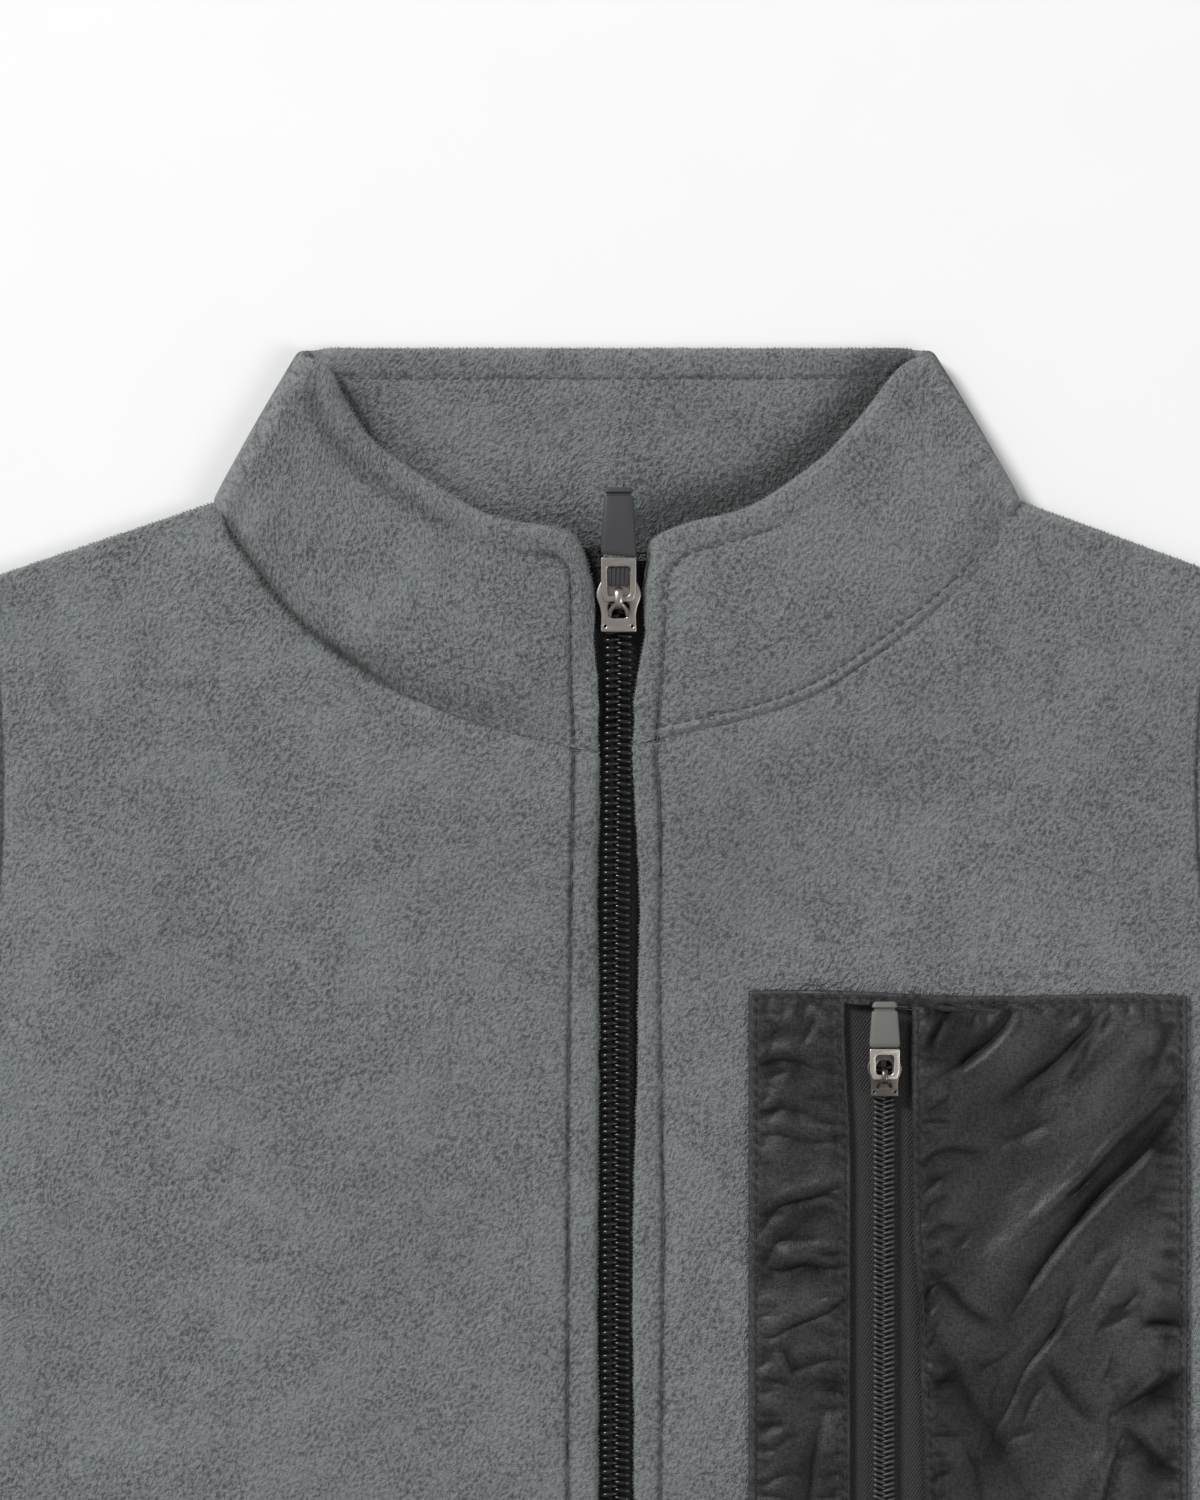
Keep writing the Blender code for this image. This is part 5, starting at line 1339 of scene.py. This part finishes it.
panelCreases = [
    ([(.0690, .1020), (.0668, .0975), (.0640, .0935), (.0620, .0905)], .0009, .0014, .0005, -1),
    ([(.0835, .1020), (.0790, .0960), (.0720, .0900), (.0640, .0865)], .0008, .0011, .0006, 1),
    ([(.1010, .1010), (.0950, .0945), (.0880, .0880), (.0800, .0830), (.0765, .0812)],
     .0009, .0012, .0006, -1),
    ([(.1172, .0880), (.1120, .0810), (.1040, .0740), (.0960, .0655), (.0850, .0560), (.0790, .0500)],
     .0004, .0007, .0006, -1),
    ([(.1172, .0835), (.1130, .0770), (.1060, .0690), (.0980, .0610), (.0890, .0500), (.0820, .0400),
      (.0762, .0325)], .0012, .0013, .0006, 1),
    ([(.0940, .0450), (.0900, .0350), (.0835, .0270), (.0790, .0180), (.0720, .0070)],
     .0006, .0010, .0004, 1),
    ([(.0623, .0695), (.0680, .0720), (.0740, .0715), (.0775, .0722)], .0006, .0009, .0004, 1),
    ([(.0630, .0540), (.0665, .0565), (.0712, .0558)], .0005, .0008, .0003, 1),
    ([(.0618, .0420), (.0650, .0445), (.0680, .0440), (.0720, .0395), (.0790, .0350)],
     .0006, .0009, .0004, 1),
    ([(.1172, .0360), (.1110, .0365), (.1060, .0362)], .0008, .0009, .0004, 1),
    ([(.1172, .0270), (.1120, .0240), (.1060, .0205), (.1000, .0170)], .0009, .0011, .0005, -1),
    ([(.1040, .0150), (.1060, .0140), (.1110, .0090), (.1172, .0050)], .0007, .0010, .0004, 1),
    ([(.1040, .0150), (.1020, .0080), (.1000, -.0010), (.0990, -.0150)], .0006, .0010, .0004, -1),
    ([(.0880, .0280), (.0940, .0200), (.1000, .0150)], .0005, .0013, .0003, -1),
    ([(.0640, .0350), (.0700, .0230), (.0780, .0110), (.0850, -.0020)], .0005, .0030, .0002, 1),
    ([(.0700, .0120), (.0735, .0040), (.0750, -.0100)], .0004, .0009, .0003, 1),
    ([(.1150, -.0040), (.1080, -.0090), (.1040, -.0160)], .0005, .0010, .0003, 1),
    ([(.0625, .0800), (.0660, .0810), (.0690, .0835)], .0004, .0007, .0003, 1),
    ([(.0640, -.0020), (.0680, -.0060), (.0700, -.0150)], .0004, .0009, .0003, 1),
]


def pocketTop(x):
    share = (x - pocket["x"][0]) / (pocket["x"][1] - pocket["x"][0])
    return pocket["y"][1] + 0.0006 - 0.0012 * share + 0.0004 * np.sin(9 * share)


def puckers(low, high, seed):  # short creases that start at the stitching
    rng = np.random.default_rng(seed)
    found = []
    for x, inward in ((low, 1), (high, -1)):
        for y in np.arange(pocket["y"][0] + 0.003, pocket["y"][1] - 0.003, 0.0023):
            y = y + rng.uniform(-0.0009, 0.0009)
            long, rise = rng.uniform(0.0022, 0.0085), rng.uniform(-0.0012, 0.0034)
            start = x + inward * 0.0012
            found.append(([(start, y), (start + inward * long * 0.5, y + rise * 0.35),
                           (start + inward * long, y + rise)], rng.uniform(0.00014, 0.00050),
                          rng.uniform(0.00035, 0.0008), rng.uniform(0.00008, 0.00025), rng.choice([-1, 1])))
    for x in np.arange(low + 0.003, high - 0.003, 0.0034):
        x = x + rng.uniform(-0.001, 0.001)
        top, long = float(pocketTop(x)) - 0.0012, rng.uniform(0.003, 0.008)
        lean = rng.uniform(-0.003, 0.001)
        found.append(([(x, top), (x + lean * 0.4, top - long * 0.5), (x + lean, top - long)],
                      rng.uniform(0.00018, 0.00050), rng.uniform(0.0005, 0.0009), 0.00015,
                      rng.choice([-1, 1])))
    return found


def slackCreases(low, high, count, angle, seed):  # many faint creases that follow the way the cloth is pulled
    rng = np.random.default_rng(seed)
    found = []
    for _ in range(count):
        x = rng.uniform(low + 0.004, high - 0.004)
        y = rng.uniform(pocket["y"][0] + 0.005, pocket["y"][1] - 0.005)
        turn, long = math.radians(angle + rng.normal(0, 16)), rng.uniform(0.005, 0.016)
        dx, dy, bend = math.cos(turn) * long / 2, math.sin(turn) * long / 2, rng.uniform(-0.0008, 0.0008)
        found.append(([(x - dx, y - dy), (x + bend, y - bend), (x + dx, y + dy)],
                      rng.uniform(0.00012, 0.00038), rng.uniform(0.0006, 0.0015),
                      rng.uniform(0.0001, 0.0003), rng.choice([-1, 1])))
    return found


def creased(x, y, creases, widthScale=1.0):  # heights, and how much painted shade each place gets from the folds
    total, tone = np.zeros(np.shape(x)), np.zeros(np.shape(x))
    for points, depth, width, ridge, side in creases:
        path = curveThrough(points, 6)
        low, high = path.min(0) - 0.006, path.max(0) + 0.006
        near = (x > low[0]) & (x < high[0]) & (y > low[1]) & (y < high[1])
        if not near.any():
            continue
        away, where, left = toPath(path, x[near], y[near])
        width, long = width * widthScale, walked(path)[-1]
        taper = smooth(where, -0.12 * long, 0.25 * long) * (1 - smooth(where, 0.55 * long, 1.04 * long))
        taper = taper * (1 + 0.25 * softNoise(where, where * 0, 0.004, 1.0, len(points) + int(1e5 * width)))
        lit = away * left * side  # positive on the side where the cloth stands up as a ridge
        valley = 0.62 * np.exp(-away / width) + 0.38 * bell(away, 2.2 * width)
        total[near] += taper * (0.7 * ridge * bell(lit - 2.6 * width, 2.1 * width) - depth * valley)
        # painted shade: dark in a fold's core and on its flank away from the ridge, wider beside deep folds
        shade = 0.95 * bell(away, 0.85 * width) + 0.60 * bell(lit + 1.3 * width, 1.9 * width)
        shade = shade + 0.45 * bell(lit + 3.2 * width, 4.2 * width) * (depth > 0.0006)
        tone[near] += taper * shade * min(depth / 0.0007, 1.25)
    return total, tone


def zipDrift(zipSide, y):  # how far the nylon's edges stand back from the plain window
    return -0.0012 * smooth(y, 0.070, 0.100) if zipSide < 0 else 0.0026 * (1 - smooth(y, -0.004, 0.074))


def pocketBase(x, y):
    return frontUnderside("left", x, y) + cut["fleece"]


def makeNylon(name, node, low, high, zipSide, creases, seed):
    ys = np.arange(0, 1.0001, pocket["cell"] / 0.124)
    near = np.array([0, 0.06, 0.16, 0.3, 0.5, 0.8]) / 124
    ys = np.sort(np.unique(np.concatenate([near, ys[2:-2], 1 - near])))
    width = high - low
    xs = np.arange(0, 1.0001, pocket["cell"] / width)
    near = np.array([0, 0.06, 0.16, 0.3, 0.5, 0.8, 1.1, 1.4, 1.7, 2.1]) / 1000 / width
    between = xs[(xs > near[-1] * 1.2) & (xs < 1 - near[-1] * 1.2)]
    xs = np.sort(np.unique(np.concatenate([near, between, 1 - near])))
    share, up = np.meshgrid(xs, ys)
    x = low + width * share
    plain = x  # before the edge at the zip is drawn aside
    y = pocket["y"][0] + (pocketTop(x) - pocket["y"][0]) * up
    x = x + zipDrift(zipSide, y) * (1 - share if zipSide > 0 else share) ** 2
    tab = smooth(up, 1 - 0.0030 / 0.124, 1 - 0.0024 / 0.124) * (zipSide > 0)
    x = x - (pocket["window"][1] - pocket["window"][0] + pocket["tab"]) * tab * (1 - share)**3
    wander = 0.00022 * softNoise(up * 0.124, up * 0, 0.009, 1.0, seed)
    x = x + wander * (1 - smooth(x - low, 0, 0.004)) * (zipSide > 0)
    y = pocket["y"][0] + (pocketTop(x) - pocket["y"][0]) * up
    toSides = np.minimum(x - pocket["x"][0], pocket["x"][1] - x)
    toEnds = np.minimum(pocketTop(x) - y, y - pocket["y"][0])
    toEdge = np.minimum(toSides, toEnds)
    toZip = abs(x - pocket["window"][0 if zipSide < 0 else 1] - zipDrift(zipSide, y))
    overTape = pocket["tapeLift"] + zipLook["tape"] + cut["gap"]
    nearZip = 1 - smooth(toZip, 0.0030, 0.0100)
    inside = smooth(toEdge, 0.001, 0.009)
    sewn = smooth(toEdge, 0.0012, 0.0030) * smooth(toZip, 0.0010, 0.0026)
    slack = slackCreases(low, high, int(width * 900), 50 if zipSide > 0 else 14, seed + 5)
    full, tone = creased(plain, y, [*creases, *slack], 0.62)
    full = pocket["creaseGain"] * full * smooth(toEdge, 0.0008, 0.0026) * smooth(toZip, 0.0012, 0.0030)
    if zipSide > 0:  # broad slack folds run up towards the outer corner
        across, along = 0.78 * x - 0.62 * y, 0.62 * x + 0.78 * y
    else:
        across, along = y - 0.25 * x, x + 0.25 * y
    waves = 0.00110 * softNoise(across, along, 0.0100, 0.027, seed + 1)
    waves = waves + 0.00022 * softNoise(across, along, 0.0036, 0.0105, seed + 2)
    waves = waves + 0.00008 * softNoise(x - 0.5 * y, y, 0.0022, 0.0040, seed + 4)
    lift = overTape * nearZip + (1 - nearZip) * inside * (pocket["puff"] + 0.0005)
    small, smallTone = creased(plain, y, puckers(low, high, seed + 3), 0.8)
    lift = np.maximum(lift + full + waves * sewn, 0.00002 + 0.00004 * sewn) + small * sewn
    lift = np.maximum(lift, 0)
    overZip = smooth(pocket["window"][1] + zipDrift(1, y) + 0.0002 - x, 0.0, 0.0006) * (zipSide > 0)
    lift = lift + (overTape + 0.0002 - lift) * overZip
    edge = np.minimum.reduce([x - x[:, :1], x[:, -1:] - x, toEnds])
    thick = pocket["nylon"]
    half = thick / 2 * np.maximum(np.sqrt(np.clip(1 - (1 - np.clip(edge / 0.0006, 0, 1)) ** 2, 0, 1)), 0.15)
    sewnLine = np.minimum(abs(toEdge - pocket["stitchIn"]), abs(toZip - pocket["zipStitchIn"]))
    dip = -0.00016 * bell(sewnLine, 0.0003) * (0.7 + 0.3 * np.cos(math.tau * y / pocket["stitch"]))
    roll = 0.00018 * bell(np.minimum(toEdge, toZip) - 0.0006, 0.0005)
    middle = np.stack([x, y, pocketBase(x, y) + cut["gap"] + lift + thick / 2], -1)
    # painted shade: in the creases and puckers, in the hollows of the broad waves, and in dashes along the
    # stitching
    hollowShade = 0.26 - 0.32 * waves / 0.0009 + 0.12 * softNoise(across, along, 0.006, 0.014, seed + 8)
    tone = 1.05 * tone + 0.95 * smallTone * sewn + np.clip(hollowShade, 0, 0.75) * inside
    tone = tone + (0.45 + 0.50 * np.cos(math.tau * (x + y) / pocket["stitch"])) * bell(sewnLine, 0.00048)
    tone = 0.94 * (1 - np.exp(-1.35 * np.maximum(tone, 0)))
    made = shell(name, middle, half, nylon, dip + roll, press=tone)
    place(made, "garment", "nylon", node)
    print(name, len(made.data.polygons))
    return made


def makePocket():
    look = pocket
    pieces = [
        makeNylon("pocketStrip", "pocket_strip", look["x"][0], look["window"][0], -1, stripCreases, 100),
        makeNylon("pocketPanel", "pocket_panel", look["window"][1], look["x"][1], 1, panelCreases, 120)]

    def tapeLevel(x, y):
        return pocketBase(np.asarray(x, float), np.asarray(y, float)) + look["tapeLift"]

    def chainLevel(y):
        return tapeLevel(np.full(np.shape(y), look["chainX"]), y) + zipLook["tape"] + cut["gap"]

    heights = [*np.arange(look["y"][0] + 0.001, look["y"][1] - 0.0014, 0.0015), look["y"][1] - 0.0006]
    slit = look["sliderY"] + 0.0055
    for side in sides:
        def edges(y, sign=sides[side]["sign"]):
            spread = 0.0004 * smooth(y, slit - 0.0025, slit)
            inner = look["chainX"] + sign * (zipLook["slit"] + spread)
            outer = look["chainX"] + sign * look["tapeReach"]
            return (outer, inner) if sign < 0 else (inner, outer)

        made = strip("pocketTape" + side.capitalize(), heights, edges, tapeLevel, zipLook["tape"], tape, 9)
        place(made, "garment", "zip_tape", "pocket_tape_" + side)
    makeCoil("pocketCoil", "pocket_chain", look, look["y"][0] + 0.002, look["sliderY"] + 0.006,
             lambda ys: np.full(len(ys), look["chainX"]), chainLevel, -0.00045, pocketWire)
    z = float(chainLevel(np.array(look["sliderY"] + pocketSlider["length"] / 2)))
    makeSlider("pocketSlider", "pocket_slider", pocketSlider, look["chainX"], look["sliderY"], z, darkNickel)
    makePull("pocketPull", "pocket_pull", pocketPull, paleNickel, pocketRubber)
    return pieces


# ---- stitches and loose fibres

sewing = {"length": 0.0024, "share": 0.72, "radius": 0.00016, "sink": -0.00010, "pocketSink": -0.00006}
fuzz = {"spacing": 0.00075, "long": (0.00025, 0.00075), "radius": 0.00010, "turn": 1.0, "seed": 5}
fray = {  # the zip tapes' cut ends
    "ends": ((-0.0072, -0.0028, 0.1880, 0.1960), (0.0040, 0.0082, 0.1850, 0.1938)),  # x from, to, y from, to
    "rows": 0.0007, "spacing": 0.0005, "long": (0.0005, 0.0012), "radius": 0.00009, "turn": 3.1, "seed": 9,
}
looseThread = {"base": 0.0098, "radius": 0.00011}


def stitchPiece(long, radius):  # one stitch: a short thread that dips into the cloth at both ends
    points = [(0, -long / 2, -radius * 2.2), (0, -long * 0.36, -radius * 0.2), (0, 0, radius * 0.25),
              (0, long * 0.36, -radius * 0.2), (0, long / 2, -radius * 2.2)]
    widths = np.array([0.6, 1, 1.05, 1, 0.6]) * radius
    return outward(meshObject("stitch", *tube(points, (1, 0, 0), widths, radius)))


def sew(name, paths, over, finish, slot, sink, seed):
    bpy.context.view_layer.update()
    laid = [laidOn(over, path, -sink) for path in paths]
    piece = stitchPiece(sewing["length"] * sewing["share"], sewing["radius"])
    made = repeatAlong(name, laid, piece, sewing["length"], finish, 0.06, 0.06, seed)
    return place(made, "garment", slot)


def inset(path, distance):  # a path moved to its left
    path = np.array(path, float)
    step = np.gradient(path, axis=0)
    step /= np.linalg.norm(step, axis=1, keepdims=True)
    return path + np.stack([-step[:, 1], step[:, 0]], 1) * distance


def makeStitches(fronts, collarPiece, pocketPieces):
    paths = []
    for side in sides:
        heights = np.arange(cut["hemY"] + 0.001, seamY + 0.001, 0.004)
        paths.append(np.stack([placketX(side, heights), heights], 1))
        corner = frontStitchPath(side)
        keep = 0.034 if side == "left" else 0.016
        paths.append(corner[(corner[:, 1] > seamY) & (abs(corner[:, 0]) < keep)])
        sign = sides[side]["sign"]
        turns = np.linspace(0.06, 1.94, 60)
        paths.append(inset([armhole(side, turn) for turn in turns], seams["edge"] * sign))
        ends = [sideSeam(side, seams["hemStitch"] / (cut["underarm"][1] - cut["hemY"]))[0], sign * 0.010]
        paths.append(np.stack([np.linspace(*ends, 50), np.full(50, cut["hemY"] + seams["hemStitch"])], 1))
    run = walked(neckPath["left"])
    shown = neckPath["left"][(run > 0.016) & (run < run[-1] - 0.006)]
    paths.append(inset(shown, -collarLook["secondStitch"]))
    paths.append([(x, cut["collarTopY"] - seams["edge"]) for x in np.linspace(-0.054, 0.056, 60)])
    sew("fleeceStitches", paths, [*fronts, collarPiece], greyThread, "fleece", sewing["sink"], 31)
    inner, zipInner = pocket["stitchIn"], pocket["zipStitchIn"]
    paths = []
    for low, high, zipOnRight in ((pocket["x"][0], pocket["window"][0], True),
                                  (pocket["window"][1], pocket["x"][1], False)):
        low, high = low + (inner if zipOnRight else zipInner), high - (zipInner if zipOnRight else inner)
        bottom = pocket["y"][0] + inner
        for x in (low, high):
            heights = np.linspace(bottom, float(pocketTop(x)) - inner, 60)
            atZip = (x == high) == zipOnRight
            paths.append([(x + atZip * zipDrift(-1 if zipOnRight else 1, y), y) for y in heights])
        across = np.linspace(low, high, 40)
        paths.append([(x, float(pocketTop(x)) - inner) for x in across])
        paths.append([(x, bottom) for x in across])
    sew("pocketStitches", paths, pocketPieces, blackThread, "nylon", sewing["pocketSink"], 32)


def tuftPiece(name, long, radius, fibres, seed):  # a few tapered fibres standing out along +X
    rng = np.random.default_rng(seed)
    points, faces = [], []
    for _ in range(fibres):
        start = len(points)
        turn, rise, reach = rng.uniform(-0.7, 0.7), rng.uniform(-0.25, 0.45), rng.uniform(*long)
        ahead = np.array([math.cos(turn), math.sin(turn), rise])
        base = np.array([-0.00008, rng.uniform(-0.00018, 0.00018), rng.uniform(-0.0002, 0.0003)])
        bend = np.array([0, rng.uniform(-0.25, 0.25) * reach, 0])
        for share, wide in ((0.0, 1.0), (0.6, 0.8)):
            for k in range(3):
                angle = math.tau * k / 3
                around = np.array([0, math.cos(angle), math.sin(angle)]) * radius * wide
                points.append(base + ahead * reach * share + bend * share**2 + around)
        points.append(base + ahead * reach + bend)
        for k in range(3):
            n = (k + 1) % 3
            faces += [(start + k, start + n, start + 3 + n, start + 3 + k),
                      (start + 3 + k, start + 3 + n, start + 6)]
        faces.append((start + 2, start + 1, start))
    return outward(meshObject(name, points, faces))


def makeFuzz():
    tuft = tuftPiece("tuft", fuzz["long"], fuzz["radius"], 3, 1)
    edges = [sampled(edge, 0.0008) for edge in looseEdges]
    made = repeatAlong("looseFibres", edges, tuft, fuzz["spacing"], fibre, fuzz["turn"], 0.35, fuzz["seed"])
    place(made, "garment", "fleece")
    print("loose fibres", len(made.data.polygons))
    level = float(seamUnderside(1.0)) - cut["gap"]
    rng = np.random.default_rng(fray["seed"])
    frayed = []
    for low, high, bottom, top in fray["ends"]:
        for y in np.arange(bottom, top, fray["rows"]):
            frayed.append([(x, y + rng.uniform(-0.0004, 0.0004), level + rng.uniform(-0.0002, 0.0003))
                           for x in np.sort(rng.uniform(low, high, 6))])
    tuft = tuftPiece("tuft", fray["long"], fray["radius"], 3, 2)
    made = repeatAlong("frayedTape", frayed, tuft, fray["spacing"], blackThread, fray["turn"], 0.4, 7)
    place(made, "garment", "zip_tape")


def makeLooseThread():  # a short loop of thread stands above the pocket's top edge
    base = looseThread["base"]
    line = [(0.0372, 0.1026, base), (0.0376, 0.1046, base + 0.0006), (0.0395, 0.1059, base + 0.0009),
            (0.0420, 0.1056, base + 0.0009), (0.0437, 0.1044, base + 0.0006), (0.0440, 0.1028, base)]
    thread = tube(curveThrough(line, 5), (0, 0, 1), looseThread["radius"], looseThread["radius"])
    place(outward(meshObject("looseThread", *thread, blackThread)), "garment", "nylon")


# ---- stage, light and camera

stageLook = {
    "frameHeight": 0.3075, "middle": (-0.0027, 0.1539, 0.006), "lens": 135.0, "sensor": 36.0,
    "lights": [((-1.90, 2.00, 2.05), 1.00, 112.0), ((1.8, -0.6, 2.2), 1.6, 24.0)],  # place, size, watts
    "lightsAimAt": (0, 0.08, 0), "surround": 0.36, "floorHalf": 3.0,
}


def makeStage():
    floorMaterial, add, shader = newMaterial("paintedBoard", 0.9)
    where = add("ShaderNodeTexCoord", out="Object")
    speck = add("ShaderNodeTexNoise", {"Vector": where, "Scale": 40.0}, "Fac")
    pale = add("ShaderNodeValToRGB", {"Fac": speck}, stops=[(0.3, "#e7e7e7"), (0.7, "#e8e8e8")])
    add(shader, {"Base Color": pale})
    size = stageLook["floorHalf"]
    floor = meshObject("floor", [(-size, -size, 0), (size, -size, 0), (size, size, 0), (-size, size, 0)],
                       [(0, 1, 2, 3)], floorMaterial)
    target = Vector(stageLook["lightsAimAt"])
    for k, (at, wide, watts) in enumerate(stageLook["lights"]):
        data = bpy.data.lights.new("softbox%d" % k, "AREA")
        data.shape, data.size, data.energy = "DISK", wide, watts
        light = addObject("softbox%d" % k, data)
        light.location = at
        light.rotation_euler = (target - Vector(at)).to_track_quat("-Z", "Y").to_euler()
    world = bpy.data.worlds.new("studio")
    bpy.context.scene.world = world
    world.use_nodes = True
    addNode(world.node_tree, world.node_tree.nodes["Background"],
            {"Color": (1, 1, 1, 1), "Strength": stageLook["surround"]})
    camera = addObject("camera", bpy.data.cameras.new("camera"))
    camera.data.lens, camera.data.sensor_width = stageLook["lens"], stageLook["sensor"]
    distance = stageLook["frameHeight"] * stageLook["lens"] / stageLook["sensor"]
    camera.location = Vector(stageLook["middle"]) + Vector((0, 0, distance))
    camera.data.clip_start = 0.01
    bpy.context.scene.camera = camera
    bpy.context.scene.view_settings.view_transform = "Standard"


makeMainZip()
makeMainSlider()
print("main zip made")
pocketPieces = makePocket()
print("pocket made")
makeStitches(fronts, collarPiece, pocketPieces)
makeFuzz()
makeLooseThread()
print("stitches and fibres made")
makeStage()
print("stage made")
